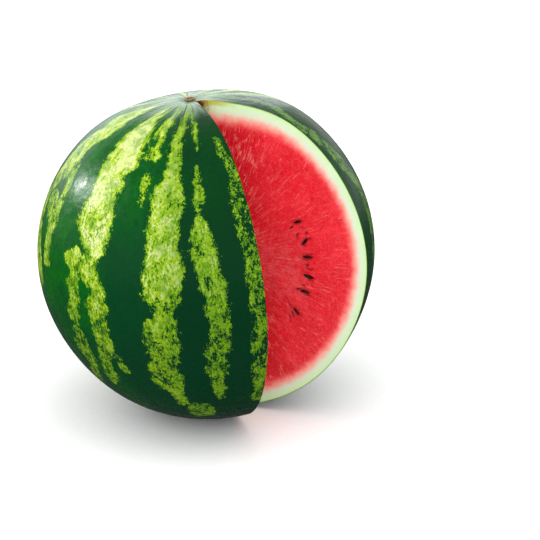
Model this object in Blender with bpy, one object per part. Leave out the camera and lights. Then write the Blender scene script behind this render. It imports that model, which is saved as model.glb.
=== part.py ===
"""A round watermelon with one wedge cut out, standing on a small flat spot.

Axes: the flat spot lies in the plane Z = 0 round the origin, +Z is up and the wedge opens towards -Y.
The fruit is worked out about its own axis, from blossom end to stem, and then leans a few degrees.
"""

import math

import bmesh
import bpy
from mathutils import Matrix, Vector

# The fruit, in metres and degrees
EQUATOR_RADIUS = 0.135
RINGS = 32
MERIDIANS = 64
SHOULDER = 0.0212  # the stem half is this share of the radius fuller, the blossom half leaner
STEM_FLATTENING = 0.065  # how far the stem end is pressed in, as a share of the radius
STEM_FLATTENING_REACH_DEG = 27.0
STEM_PIT = 0.012  # a small pit under the stem, as a share of the radius
STEM_PIT_REACH_DEG = 5.0
FULL_SIDE = 0.018  # one shoulder is this share fuller and the opposite one as much leaner
FULL_SIDE_DEG = -30.0  # the way to the fuller shoulder, counted from +X towards +Y
FULL_SIDE_REACH_DEG = 45.0
WAIST = 0.010  # the underside draws in by this share of the radius
WAIST_AT_DEG = 118.0
WAIST_REACH_DEG = 20.0
LOBE_SWELL = 0.004  # three faint lobes round the equator, as a share of the radius
LOBE_COUNT = 3
LOBE_TURN_DEG = 35.0
LEAN_DEG = 5.5
LEAN_TOWARDS_DEG = 137.5  # counted from +X towards +Y
REST_DEPTH = 0.0025  # how deep the flat spot cuts into the rounded underside

# The wedge that was cut out
WEDGE_ANGLE_DEG = 50.0
KNIFE_OFFSET = 0.005  # the knife went in this far in front of the fruit's axis
CUTTER_REACH = 0.2

# The stem's stump: radii and heights above the bottom of the stem pit
STUB_RADIUS = 0.0046
STUB_HEIGHT = 0.0030
STUB_DISH_DEPTH = 0.0010
ROOT_RADIUS = 0.0025
ROOT_DEPTH = 0.0045
STUB_STEPS = 24

# The seeds
SEED_LENGTH = 0.0095
SEED_WIDTH = 0.0060
SEED_THICKNESS = 0.0026
SEED_TAPER = 0.28  # how much the pointed end narrows and the blunt end widens
SEED_RINGS = 8
SEED_SIDES = 12
SEED_ROW_RADIUS = 0.60  # the seeds' distance from the middle of the fruit, as a share of its radius
# Each seed: degrees from the stem, turn within the cut face in degrees, and height above the face in metres
SEEDS_RIGHT = (
    (68.5, 6.0, 0.0003),
    (80.5, -38.0, 0.0007),
    (89.5, 2.0, 0.0010),
    (101.0, 14.0, 0.0005),
    (110.5, -9.0, 0.0009),
    (124.0, 22.0, 0.0004),
)
SEEDS_LEFT = (
    (63.0, -12.0, 0.0006),
    (74.5, 9.0, 0.0009),
    (86.0, -4.0, 0.0004),
    (96.5, 31.0, 0.0008),
    (107.0, -7.0, 0.0010),
    (119.5, 12.0, 0.0005),
)

GAP = 0.0003  # the clearance between pieces that touch


def start_empty():
    for thing in list(bpy.data.objects):
        bpy.data.objects.remove(thing, do_unlink=True)


def material(name, colour, roughness):
    made = bpy.data.materials.new(name)
    made.use_nodes = True
    shader = made.node_tree.nodes["Principled BSDF"]
    shader.inputs["Base Color"].default_value = (*colour, 1.0)
    shader.inputs["Roughness"].default_value = roughness
    shader.inputs["Metallic"].default_value = 0.0
    return made


def link(name, mesh, finish):
    """A new object of this mesh in the scene, shaded smooth except at its sharp edges."""
    thing = bpy.data.objects.new(name, mesh)
    bpy.context.scene.collection.objects.link(thing)
    mesh.materials.append(finish)
    mesh.shade_smooth()
    mesh.set_sharp_from_angle(angle=math.radians(40.0))
    return thing


def cut_from(solid, cutter):
    """Takes the cutter's shape out of the solid, and leaves the cutter as a hidden guide."""
    cutter.hide_render = True
    cutter.display_type = "WIRE"
    cut = solid.modifiers.new("cut " + cutter.name, "BOOLEAN")
    cut.operation = "DIFFERENCE"
    cut.solver = "EXACT"
    cut.object = cutter


def bump(angle_deg, reach_deg, power):
    """1 at angle 0, falling smoothly to nothing past the reach."""
    return math.exp(-((angle_deg / reach_deg) ** power))


def skin_radius(from_stem, around):
    """The distance from the fruit's middle to its skin, at an angle from the stem and one round the axis."""
    from_stem_deg = math.degrees(from_stem)
    share = 1.0 + SHOULDER * math.cos(from_stem)
    share -= STEM_FLATTENING * bump(from_stem_deg, STEM_FLATTENING_REACH_DEG, 3)
    share -= STEM_PIT * bump(from_stem_deg, STEM_PIT_REACH_DEG, 2)
    share -= WAIST * bump(from_stem_deg - WAIST_AT_DEG, WAIST_REACH_DEG, 2)
    fuller = math.cos(around - math.radians(FULL_SIDE_DEG)) * math.sin(from_stem)
    share += FULL_SIDE * fuller * bump(from_stem_deg, FULL_SIDE_REACH_DEG, 3)
    lobe = math.cos(LOBE_COUNT * (around - math.radians(LOBE_TURN_DEG)))
    share += LOBE_SWELL * lobe * math.sin(from_stem) ** 2
    return EQUATOR_RADIUS * share


def lean_matrix():
    """Turns the fruit's own upright axis to its leaning one."""
    towards = math.radians(LEAN_TOWARDS_DEG)
    hinge = Vector((-math.sin(towards), math.cos(towards), 0.0))
    return Matrix.Rotation(math.radians(LEAN_DEG), 4, hinge)


def whole_fruit():
    """(mesh of the fruit with its flat spot, matrix that places things given about the fruit's own axis)."""
    shape = bmesh.new()
    bmesh.ops.create_uvsphere(shape, u_segments=MERIDIANS, v_segments=RINGS, radius=1.0)
    for point in shape.verts:
        from_stem = math.acos(max(-1.0, min(1.0, point.co.z)))
        around = math.atan2(point.co.y, point.co.x)
        point.co *= skin_radius(from_stem, around)
    lean = lean_matrix()
    lowest = min((lean @ point.co).z for point in shape.verts)
    place = Matrix.Translation((0.0, 0.0, -lowest - REST_DEPTH)) @ lean
    bmesh.ops.transform(shape, matrix=place, verts=shape.verts)
    everything = shape.verts[:] + shape.edges[:] + shape.faces[:]
    floor = bmesh.ops.bisect_plane(
        shape, geom=everything, plane_co=(0, 0, 0), plane_no=(0, 0, -1), clear_outer=True
    )
    rim = [part for part in floor["geom_cut"] if isinstance(part, bmesh.types.BMEdge)]
    bmesh.ops.edgeloop_fill(shape, edges=rim)
    shape.normal_update()
    bmesh.ops.recalc_face_normals(shape, faces=shape.faces)
    mesh = bpy.data.meshes.new("melon_body")
    shape.to_mesh(mesh)
    shape.free()
    return mesh, place


def wedge_cutter(place, finish):
    """A tall three-sided prism: its edge is the line where the two knife cuts meet."""
    half = math.radians(WEDGE_ANGLE_DEG / 2.0)
    edge = Vector((0.0, -KNIFE_OFFSET, -CUTTER_REACH))
    sides = (
        Vector((0.0, 0.0, 0.0)),
        Vector((-math.sin(half), -math.cos(half), 0.0)) * CUTTER_REACH,
        Vector((math.sin(half), -math.cos(half), 0.0)) * CUTTER_REACH,
    )
    shape = bmesh.new()
    base = shape.faces.new([shape.verts.new(edge + side) for side in sides])
    grown = bmesh.ops.extrude_face_region(shape, geom=[base])
    top = [part for part in grown["geom"] if isinstance(part, bmesh.types.BMVert)]
    bmesh.ops.translate(shape, verts=top, vec=(0.0, 0.0, 2.0 * CUTTER_REACH))
    bmesh.ops.recalc_face_normals(shape, faces=shape.faces)
    bmesh.ops.transform(shape, matrix=place, verts=shape.verts)
    mesh = bpy.data.meshes.new("wedge")
    shape.to_mesh(mesh)
    shape.free()
    return link("wedge", mesh, finish)


def turned(name, outline, finish, place):
    """A solid turned round its own Z axis from an outline of (radius, height), top to bottom."""
    mesh = bpy.data.meshes.new(name)
    points = [(radius, 0.0, height) for radius, height in outline]
    mesh.from_pydata(points, [(i, i + 1) for i in range(len(points) - 1)], [])
    thing = bpy.data.objects.new(name, mesh)
    bpy.context.scene.collection.objects.link(thing)
    mesh.materials.append(finish)
    turn = thing.modifiers.new("turn", "SCREW")
    turn.steps = STUB_STEPS
    turn.render_steps = STUB_STEPS
    turn.use_merge_vertices = True
    turn.merge_threshold = 0.00005
    turn.use_smooth_shade = True
    thing.matrix_world = place
    return thing


def stem_place(place):
    """The bottom of the stem pit, with Z along the fruit's axis."""
    return place @ Matrix.Translation((0.0, 0.0, skin_radius(0.0, 0.0)))


def add_stem(place, finish):
    """A dished button that rests on the skin, with a short root below it."""
    foot = GAP + STEM_PIT * EQUATOR_RADIUS * (
        1.0 - bump(math.degrees(STUB_RADIUS / EQUATOR_RADIUS), STEM_PIT_REACH_DEG, 2)
    )
    outline = (
        (0.0, STUB_HEIGHT - STUB_DISH_DEPTH),
        (0.45 * STUB_RADIUS, STUB_HEIGHT - 0.8 * STUB_DISH_DEPTH),
        (0.72 * STUB_RADIUS, STUB_HEIGHT),
        (0.90 * STUB_RADIUS, 0.85 * STUB_HEIGHT),
        (STUB_RADIUS, 0.5 * STUB_HEIGHT),
        (0.95 * STUB_RADIUS, foot),
        (ROOT_RADIUS, foot),
        (0.85 * ROOT_RADIUS, -ROOT_DEPTH),
        (0.0, -ROOT_DEPTH),
    )
    return turned("stem_stub", outline, finish, stem_place(place))


def stem_socket(place, finish):
    """The hole that the stem's root sits in, a gap wider than the root all round."""
    above = 2.0 * STUB_HEIGHT
    outline = (
        (0.0, above),
        (ROOT_RADIUS + GAP, above),
        (ROOT_RADIUS + GAP, -ROOT_DEPTH - GAP),
        (0.0, -ROOT_DEPTH - GAP),
    )
    return turned("stem_socket", outline, finish, stem_place(place))


def seed_mesh(name, extra):
    """A flattened egg with its length along X, its width along Y and its pointed end at +X.

    The half sizes all grow by extra, which makes the pocket that fits round a seed.
    """
    halves = Vector((SEED_LENGTH / 2 + extra, SEED_WIDTH / 2 + extra, SEED_THICKNESS / 2 + extra))
    shape = bmesh.new()
    bmesh.ops.create_uvsphere(shape, u_segments=SEED_SIDES, v_segments=SEED_RINGS, radius=1.0)
    for point in shape.verts:
        along, across, through = point.co.z, point.co.x, point.co.y
        narrowing = 1.0 - SEED_TAPER * along
        point.co = Vector((along, across * narrowing, through * narrowing)) * halves
    shape.normal_update()
    mesh = bpy.data.meshes.new(name)
    shape.to_mesh(mesh)
    shape.free()
    return mesh


def seed_place(place, side, from_stem_deg, turn_deg, height):
    """Where a seed sits: its length runs outward in the cut face, and its width goes into the flesh.

    side is 1 for the cut face at +X and -1 for the one at -X.
    """
    half = math.radians(WEDGE_ANGLE_DEG / 2.0)
    outward = Vector((side * math.sin(half), -math.cos(half), 0.0))
    inward = Vector((side * math.cos(half), math.sin(half), 0.0))
    upward = Vector((0.0, 0.0, 1.0))
    angle = math.radians(from_stem_deg)
    distance = SEED_ROW_RADIUS * EQUATOR_RADIUS
    middle = Vector((0.0, -KNIFE_OFFSET, 0.0))
    middle += outward * distance * math.sin(angle) + upward * distance * math.cos(angle)
    middle += inward * (SEED_WIDTH / 2.0 - height)
    length_way = angle + math.radians(turn_deg)
    along = -(outward * math.sin(length_way) + upward * math.cos(length_way))
    through = along.cross(inward)
    turn = Matrix((along, inward, through)).transposed().to_4x4()
    return place @ Matrix.Translation(middle) @ turn


def add_seeds(body, place, side_name, side, seeds, finish):
    """One row of seeds in one cut face, each with its own pocket in the flesh."""
    for number, (from_stem_deg, turn_deg, height) in enumerate(seeds, start=1):
        where = seed_place(place, side, from_stem_deg, turn_deg, height)
        name = f"seed_{side_name}_{number}"
        seed = link(name, seed_mesh(name, 0.0), finish)
        seed.matrix_world = where
        pocket = link("pocket_" + name, seed_mesh("pocket_" + name, GAP), finish)
        pocket.matrix_world = where
        cut_from(body, pocket)


def build():
    start_empty()
    flesh_and_skin = material("melon", (0.035, 0.150, 0.030), 0.30)
    dry_stem = material("dry_stem", (0.180, 0.085, 0.035), 0.85)
    seed_coat = material("seed_coat", (0.018, 0.009, 0.006), 0.35)
    helper = material("helper", (0.5, 0.5, 0.5), 0.5)

    mesh, place = whole_fruit()
    body = link("melon_body", mesh, flesh_and_skin)
    cut_from(body, wedge_cutter(place, helper))
    add_stem(place, dry_stem)
    cut_from(body, stem_socket(place, helper))
    add_seeds(body, place, "right", 1, SEEDS_RIGHT, seed_coat)
    add_seeds(body, place, "left", -1, SEEDS_LEFT, seed_coat)


build()
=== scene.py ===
# %% [markdown]
# # A watermelon with a wedge cut out
# The real thing is one fruit with a thin green skin, a pale rind and red flesh, a dry stump where the
# stalk came off, and seeds that the knife laid bare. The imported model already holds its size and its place:
# it stands on a small flat spot at Z = 0, leans a few degrees, and the wedge opens towards -Y.
# This lesson puts a finely shaped and coloured surface on each of those solids.
# It keeps to one rule throughout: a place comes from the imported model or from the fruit's own formula.

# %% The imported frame
import math

import bpy
import numpy as np
from mathutils import Matrix, Vector


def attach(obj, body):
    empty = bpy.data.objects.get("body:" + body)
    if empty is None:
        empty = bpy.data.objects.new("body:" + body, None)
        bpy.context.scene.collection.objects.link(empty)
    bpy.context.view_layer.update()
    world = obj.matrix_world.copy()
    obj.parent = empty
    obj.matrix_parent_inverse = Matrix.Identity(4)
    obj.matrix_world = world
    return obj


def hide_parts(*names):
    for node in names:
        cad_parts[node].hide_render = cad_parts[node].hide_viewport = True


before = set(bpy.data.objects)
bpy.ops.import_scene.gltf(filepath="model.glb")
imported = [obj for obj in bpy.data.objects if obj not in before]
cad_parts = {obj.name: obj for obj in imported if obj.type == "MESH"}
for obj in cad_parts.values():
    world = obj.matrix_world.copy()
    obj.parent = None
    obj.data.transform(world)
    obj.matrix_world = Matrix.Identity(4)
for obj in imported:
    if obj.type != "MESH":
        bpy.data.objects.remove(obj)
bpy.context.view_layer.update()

# %% [markdown]
# ## The fruit's shape as a formula
# A melon is nearly a ball, so its shape is best told as a distance from its middle in every direction.
# Two angles name a direction: how far down it lies from the stem, and how far round the fruit's axis.
# A sculpted mesh could give the same form, but a formula can be asked for a point anywhere,
# and the skin, the cut and the colours can then all use it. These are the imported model's own sizes.

# %% The distance from the middle to the skin
EQUATOR_RADIUS = 0.135
SHOULDER = 0.0212
STEM_FLATTENING = 0.065
STEM_FLATTENING_REACH_DEG = 27.0
STEM_PIT = 0.012
STEM_PIT_REACH_DEG = 5.0
FULL_SIDE = 0.018
FULL_SIDE_DEG = -30.0
FULL_SIDE_REACH_DEG = 45.0
WAIST = 0.010
WAIST_AT_DEG = 118.0
WAIST_REACH_DEG = 20.0
LOBE_SWELL = 0.004
LOBE_COUNT = 3
LOBE_TURN_DEG = 35.0


def bump(off, reach, power):
    """exp(-(|off| / reach) ^ power): 1 in the middle, falling smoothly to nothing past the reach."""
    return np.exp(-((np.abs(off) / reach) ** power))


def skin_radius(down, around):
    """The radius times a share that starts at 1. A fuller stem half adds cos(down), the pressed-in stem end,
    its pit and the waist each take a bump away, the full shoulder adds cos(around) * sin(down) within its
    reach, and three lobes add cos(3 * around) * sin(down) ^ 2.
    """
    down_deg = np.degrees(down)
    share = 1.0 + SHOULDER * np.cos(down)
    share = share - STEM_FLATTENING * bump(down_deg, STEM_FLATTENING_REACH_DEG, 3)
    share = share - STEM_PIT * bump(down_deg, STEM_PIT_REACH_DEG, 2)
    share = share - WAIST * bump(down_deg - WAIST_AT_DEG, WAIST_REACH_DEG, 2)
    fuller = np.cos(around - math.radians(FULL_SIDE_DEG)) * np.sin(down)
    share = share + FULL_SIDE * fuller * bump(down_deg, FULL_SIDE_REACH_DEG, 3)
    lobe = np.cos(LOBE_COUNT * (around - math.radians(LOBE_TURN_DEG)))
    share = share + LOBE_SWELL * lobe * np.sin(down) ** 2
    return EQUATOR_RADIUS * share


def radius_towards(points):
    """(distance from the middle, the skin's radius in that direction) of each point. Its direction is
    down = arccos(z / distance) and around = arctan2(y, x)."""
    distance = np.linalg.norm(points, axis=-1)
    down = np.arccos(points[..., 2] / distance)
    return distance, skin_radius(down, np.arctan2(points[..., 1], points[..., 0]))


print("radius at the equator in mm: %.1f" % (1000 * skin_radius(math.pi / 2.0, 0.0)))

# %% [markdown]
# ## How the fruit stands
# A round fruit seldom stands straight on its blossom end. This one leans a few degrees, and the spot that it
# rests on has been pressed flat. The formula above is about the fruit's own axis, so every point is first
# worked out there and then turned and lifted into place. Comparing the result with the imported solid
# shows at once whether the two agree.

# %% The lean and the lift
LEAN_DEG = 5.5
LEAN_TOWARDS_DEG = 137.5
REST_DEPTH = 0.0025
CAD_RINGS = 32
CAD_MERIDIANS = 64
ON_SKIN = 0.001  # a packed point this near the formula's skin belongs to it

towards = math.radians(LEAN_TOWARDS_DEG)
hinge = Vector((-math.sin(towards), math.cos(towards), 0.0))
lean = np.array(Matrix.Rotation(math.radians(LEAN_DEG), 3, hinge))


def ball_direction(down, around):
    """(sin down cos around, sin down sin around, cos down), a step of length 1 in that direction."""
    parts = (np.sin(down) * np.cos(around), np.sin(down) * np.sin(around), np.cos(down))
    return np.stack(np.broadcast_arrays(*parts), axis=-1)


def lowest_point():
    """The lowest height of the leaning fruit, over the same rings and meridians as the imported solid."""
    down = np.linspace(0.0, np.pi, CAD_RINGS + 1)[:, None]
    around = np.linspace(0.0, 2.0 * np.pi, CAD_MERIDIANS + 1)[None, :]
    points = skin_radius(down, around)[..., None] * ball_direction(down, around)
    return float((points @ lean.T)[..., 2].min())


lift = -lowest_point() - REST_DEPTH


def stand(points):
    """From the fruit's own upright axes to where it stands."""
    return points @ lean.T + np.array((0.0, 0.0, lift))


def upright(points):
    """From where the fruit stands back to its own upright axes."""
    return (points - np.array((0.0, 0.0, lift))) @ lean


def packed_points(node):
    """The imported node's points, each of them once."""
    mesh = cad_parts[node].data
    points = np.empty(len(mesh.vertices) * 3, np.float32)
    mesh.vertices.foreach_get("co", points)
    return np.unique(np.round(points.reshape(-1, 3).astype(float), 7), axis=0)


def farthest_from_formula():
    """(the largest |distance - radius| in mm, how many points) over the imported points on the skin."""
    distance, radius = radius_towards(upright(packed_points("melon_body")))
    miss = np.abs(distance - radius)
    on_skin = miss < ON_SKIN
    return 1000.0 * miss[on_skin].max(), int(on_skin.sum())


print("lift in mm: %.2f" % (1000 * lift))
print("the packed skin differs by at most %.3f mm at %d points" % farthest_from_formula())

# %% [markdown]
# ## Rays from the knife's edge
# The two knife cuts meet in a line just in front of the fruit's axis, and from the middle of that line
# every point of the skin and of both cut faces can be seen. So one fan of rays serves the whole melon:
# round the outside the rays end on the skin, and inside each cut face they are filled in from the middle
# outwards. All three sheets then share the same points along their edges and close up with no gap.
# A Boolean cut would leave long thin triangles there, which wouldn't take any fine relief.

# %% The fan of rays
WEDGE_ANGLE_DEG = 50.0
KNIFE_OFFSET = 0.005
SKIN_INSET = 0.0003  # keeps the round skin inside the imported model's flat facets and leaves room for relief
RAYS = 280
RAY_CROWDING = 0.15  # draws the rays together at mid height, where the seeds are
SKIN_COLUMNS = 92
CUT_STEPS = 128
SEED_ROW_SHARE = 0.60
CROWDING = 1.3
CROWDING_WIDTH = 0.15
CORRECTIONS = 14
LEAST_FALL = 1e-6  # a ray that falls less than this never meets the floor

knife_middle = np.array((0.0, -KNIFE_OFFSET, 0.0))
half_wedge = math.radians(WEDGE_ANGLE_DEG / 2.0)

even = np.linspace(0.0, 1.0, RAYS + 1)
ray = np.pi * even + RAY_CROWDING * np.sin(2.0 * np.pi * even)
column = np.linspace(-np.pi / 2.0 + half_wedge, 1.5 * np.pi - half_wedge, SKIN_COLUMNS + 1)


def crowded_steps():
    """Shares from 0 to 1 along a ray, closest together where the seeds lie: the running sum of a density
    that is 1 with a bell-shaped rise at the seed row, read backwards."""
    share = np.linspace(0.0, 1.0, 2001)  # fine enough to be read backwards
    density = 1.0 + CROWDING * np.exp(-(((share - SEED_ROW_SHARE) / CROWDING_WIDTH) ** 2))
    total = np.cumsum(density)
    total = (total - total[0]) / (total[-1] - total[0])
    return np.interp(np.linspace(0.0, 1.0, CUT_STEPS + 1), total, share)


def reach(down, around):
    """How far a ray from the knife line's middle runs to the skin. The length is corrected again and again by
    what its end still lacks of the skin's radius. A ray that would end below the floor stops on it."""
    direction = ball_direction(down, around)
    distance = np.full(direction.shape[:-1], EQUATOR_RADIUS)
    for _ in range(CORRECTIONS):
        length, wanted = radius_towards(knife_middle + distance[..., None] * direction)
        distance = distance + wanted - SKIN_INSET - length
    fall = -(direction @ lean.T)[..., 2]
    to_floor = stand(knife_middle)[2] / np.maximum(fall, LEAST_FALL)
    to_floor = np.where(fall > LEAST_FALL, to_floor, np.inf)
    return np.minimum(distance, to_floor)


step = crowded_steps()
skin_reach = reach(ray[:, None], column[None, :])
print("rays: %d, from %.1f to %.1f mm long" % (RAYS, 1000 * skin_reach.min(), 1000 * skin_reach.max()))

# %% [markdown]
# ## Where the seeds are
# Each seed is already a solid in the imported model. Its middle and its three directions can be read off that
# solid: the longest spread of its points is its length, the next its width, and the shortest its thickness.
# Working from the solid means a seed can never drift away from its pocket.

# %% Reading each seed's place
seed_names = sorted(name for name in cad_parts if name.startswith("seed_"))


def seed_frame(name):
    """(middle, three directions as rows, three half sizes) of a packed seed. The directions are the axes of
    its points' spread. The first one points to the narrower end."""
    points = packed_points(name)
    middle = points.mean(axis=0)
    axes = np.linalg.svd(points - middle, full_matrices=False)[2]
    along = (points - middle) @ axes.T
    middle = middle + ((along.max(axis=0) + along.min(axis=0)) / 2.0) @ axes
    along = (points - middle) @ axes.T
    halves = along.max(axis=0)
    width_front = np.abs(along[along[:, 0] > 0.5 * halves[0], 1]).max()
    width_back = np.abs(along[along[:, 0] < -0.5 * halves[0], 1]).max()
    if width_front > width_back:
        axes[0] = -axes[0]
    axes[2] = np.cross(axes[0], axes[1])
    return middle, axes, halves


seeds = {name: seed_frame(name) for name in seed_names}
for name in seed_names[:1] + seed_names[-1:]:
    print(name, "half sizes in mm:", np.round(1000 * seeds[name][2], 2))

# %% [markdown]
# ## Random relief that is always the same
# Flesh, cork and rind are all a little uneven. Random heights are set on the corners of a square net, and
# between corners they are blended smoothly. Laying several nets over each other, each finer and flatter than
# the last, gives a natural roughness. A fixed starting number makes the result the same each time.

# %% Uneven heights
NET = 256


def uneven(across, along, start):
    """Random corner heights from -1 to 1, blended with 3t^2 - 2t^3 along both sides of each square."""
    net = np.random.default_rng(start).uniform(-1.0, 1.0, (NET, NET))
    i = np.floor(across).astype(int)
    j = np.floor(along).astype(int)
    s = across - i
    t = along - j
    s = s * s * (3.0 - 2.0 * s)
    t = t * t * (3.0 - 2.0 * t)
    low = net[i % NET, j % NET] * (1.0 - s) + net[(i + 1) % NET, j % NET] * s
    high = net[i % NET, (j + 1) % NET] * (1.0 - s) + net[(i + 1) % NET, (j + 1) % NET] * s
    return low * (1.0 - t) + high * t


def rough(across, along, start, layers=3):
    """Several layers of uneven(), each half as wide and half as high as the one before."""
    total = 0.0
    for layer in range(layers):
        total = total + uneven(across * 2.0**layer, along * 2.0**layer, start + layer) / 2.0**layer
    return total


def ramp_up(value, low, high):
    """0 up to low, 1 from high on, and 3t^2 - 2t^3 between."""
    t = np.clip((value - low) / (high - low), 0.0, 1.0)
    return t * t * (3.0 - 2.0 * t)


print("a few uneven heights:", np.round(rough(np.arange(3) + 0.5, np.arange(3) + 0.5, 1), 2))

# %% [markdown]
# ## How thick the rind is
# The rind is thinnest at the side and thicker towards both ends, most of all under the stem. It is firm and
# pale, and it decides where the red flesh begins, for the relief here and for the colours later on.

# %% The rind's thickness
RIND_SIDE = 0.0108
RIND_STEM = 0.0165
RIND_BLOSSOM = 0.0135
RIND_STEM_REACH_DEG = 42.0
RIND_BLOSSOM_REACH_DEG = 40.0


def rind_thickness(down):
    """The side's thickness, blended into the stem end's and the blossom end's."""
    down_deg = np.degrees(down)
    thickness = RIND_SIDE + (RIND_STEM - RIND_SIDE) * bump(down_deg, RIND_STEM_REACH_DEG, 2)
    return thickness + (RIND_BLOSSOM - RIND_SIDE) * bump(180.0 - down_deg, RIND_BLOSSOM_REACH_DEG, 2)


print("rind in mm at the stem, the side and the blossom end:", end=" ")
print(np.round(1000 * rind_thickness(np.array((0.0, np.pi / 2.0, np.pi))), 1))

# %% [markdown]
# ## Hollows and slits by the seeds
# Juice and loose tissue come away round each seed, which leaves a small hollow, and a few slits tear open
# beside it. Both are ovals on the cut face. A cutter for each would be much work for such soft shapes, so
# each oval is a smooth share from 0 to 1 that is multiplied by its depth.

# %% Hollows and slits
HOLLOW_BESIDE = (0.0004, 0.0009)  # past the seed's ends and past its flat sides
SLITS_PER_SEED = 3
SLIT_SPREAD = (0.006, 0.0075)
SLIT_TURN = 0.5
SLIT_HALF_LENGTH = (0.0016, 0.0040)
SLIT_HALF_WIDTH = (0.0006, 0.0010)
SLIT_STRENGTH = (0.35, 1.0)
SLIT_DICE = {1: 31, -1: 47}


def face_axes(side):
    """(outward, upward, out of the flesh) for the cut face on the +X side (1) or the -X side (-1)."""
    outward = np.array((side * math.sin(half_wedge), -math.cos(half_wedge), 0.0))
    upward = np.array((0.0, 0.0, 1.0))
    free_side = -np.array((side * math.cos(half_wedge), math.sin(half_wedge), 0.0))
    return outward, upward, free_side


def oval(out, up, middle, turn, half_length, half_width):
    """exp(-(squared distance in an oval's own measure) ^ 1.5): 1 in its middle and nearly 0 past its edge."""
    x = (out - middle[0]) * math.cos(turn) + (up - middle[1]) * math.sin(turn)
    y = (up - middle[1]) * math.cos(turn) - (out - middle[0]) * math.sin(turn)
    return np.exp(-(((x / half_length) ** 2 + (y / half_width) ** 2) ** 1.5))


def hollows(side, out, up):
    """The hollow round each seed of this face, and the slits beside it, both from 0 to 1."""
    outward, upward, _ = face_axes(side)
    dice = np.random.default_rng(SLIT_DICE[side])
    round_seeds = np.zeros_like(out)
    slits = np.zeros_like(out)
    for name in seed_names:
        if name.startswith("seed_right" if side > 0 else "seed_left"):
            middle, axes, halves = seeds[name]
            own = upright(middle) - knife_middle
            place = np.array((own @ outward, own @ upward))
            direction = axes[0] @ lean
            turn = math.atan2(direction @ upward, direction @ outward)
            hollow = oval(out, up, place, turn, halves[0] + HOLLOW_BESIDE[0], halves[2] + HOLLOW_BESIDE[1])
            round_seeds = np.maximum(round_seeds, hollow)
            for _ in range(SLITS_PER_SEED):
                shifted = place + dice.uniform(-1.0, 1.0, 2) * SLIT_SPREAD
                slit_turn = turn + dice.uniform(-SLIT_TURN, SLIT_TURN)
                length, width = dice.uniform(*SLIT_HALF_LENGTH), dice.uniform(*SLIT_HALF_WIDTH)
                slit = oval(out, up, shifted, slit_turn, length, width)
                slits = np.maximum(slits, slit * dice.uniform(*SLIT_STRENGTH))
    return round_seeds, slits


print("slits in each face:", SLITS_PER_SEED * len(seed_names) // 2)

# %% [markdown]
# ## The two cut faces
# A long knife leaves a nearly flat face with a slow wave in it. The rind is firm and cuts clean. The flesh is
# wet and grainy: it tears a little, it sinks below the rind, and its fibres stand out as fine ridges that run
# out from the fruit's middle. Colour alone can't give that, so the face is a fine grid, and the wave, the
# sinking, the grain, the ridges and the hollows are each added to its height.

# %% The relief of a cut face
FLESH_STARTS, FLESH_FULL = 0.85, 1.25  # as shares of the rind's thickness, counted from the skin
FLESH_SINK = 0.00030
KNIFE_WAVE = 0.00030
KNIFE_WAVE_SIZE = (0.030, 0.022)
GRAIN = 0.00016
GRAIN_SIZE = 0.0034
FIBRE = 0.00013
FIBRES_PER_RADIAN = 60.0
FIBRE_LENGTH = 0.014
HOLLOW_DEPTH = 0.00075
SLIT_DEPTH = 0.0014
EDGE_FADE = 0.0020
FACE_NETS = {1: 100, -1: 200}


def cut_face(side, rim_reach):
    """The points of one cut face, and what its colours need. A point lies on its ray at a crowded share of
    the way to the skin, and is then pushed out of the flesh by the relief's height."""
    outward, upward, free_side = face_axes(side)
    down = ray[:, None] * np.ones_like(step)[None, :]
    far = rim_reach[:, None] * step[None, :]
    out, up = far * np.sin(down), far * np.cos(down)
    rind = (rim_reach[:, None] - far) / rind_thickness(down)
    flesh = ramp_up(rind, FLESH_STARTS, FLESH_FULL)
    fade = ramp_up(rim_reach[:, None] - far, 0.0, EDGE_FADE) * ramp_up(out, 0.0, EDGE_FADE)
    start = FACE_NETS[side]
    height = KNIFE_WAVE * uneven(out / KNIFE_WAVE_SIZE[0] + 40.0, up / KNIFE_WAVE_SIZE[1] + 40.0, start)
    height = height - FLESH_SINK * flesh
    height = height + GRAIN * flesh * rough(out / GRAIN_SIZE + 90.0, up / GRAIN_SIZE + 90.0, start + 10)
    height = height + FIBRE * flesh * rough(down * FIBRES_PER_RADIAN, far / FIBRE_LENGTH, start + 20)
    round_seeds, slits = hollows(side, out, up)
    height = height - HOLLOW_DEPTH * round_seeds - SLIT_DEPTH * slits
    flat = knife_middle + out[..., None] * outward + up[..., None] * upward
    points = flat + (height * fade)[..., None] * free_side
    return {
        "points": points,
        "rind": rind,
        "ray": down,
        "far": far,
        "out": out,
        "up": up,
        "hollow": np.clip(round_seeds * 0.55 + slits, 0.0, 1.0),
    }


faces = {1: cut_face(1, skin_reach[:, 0]), -1: cut_face(-1, skin_reach[:, -1])}
print("cut face grid:", faces[1]["points"].shape[:2], " deepest slit %.2f mm" % (1000 * SLIT_DEPTH))

# %% [markdown]
# ## Joining skin and cut faces into one closed mesh
# The melon is one thing, so it is one mesh. Every point gets a number. Where two sheets meet they use the
# same number, which closes the mesh: along the two rims, along the knife line, and at the two ends of it.
# A polygon whose corners fall together at such an end is a triangle, and any other has four corners.
# The mesh also carries a flat map of itself, so that its colours can later be stored as a picture: the skin
# fills the upper part of the map, and the two half-round cut faces lie side by side below it.

# %% Numbering the points
SKIN_MAP_LOW = 0.275
MAP_MARGIN = 0.006


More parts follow.
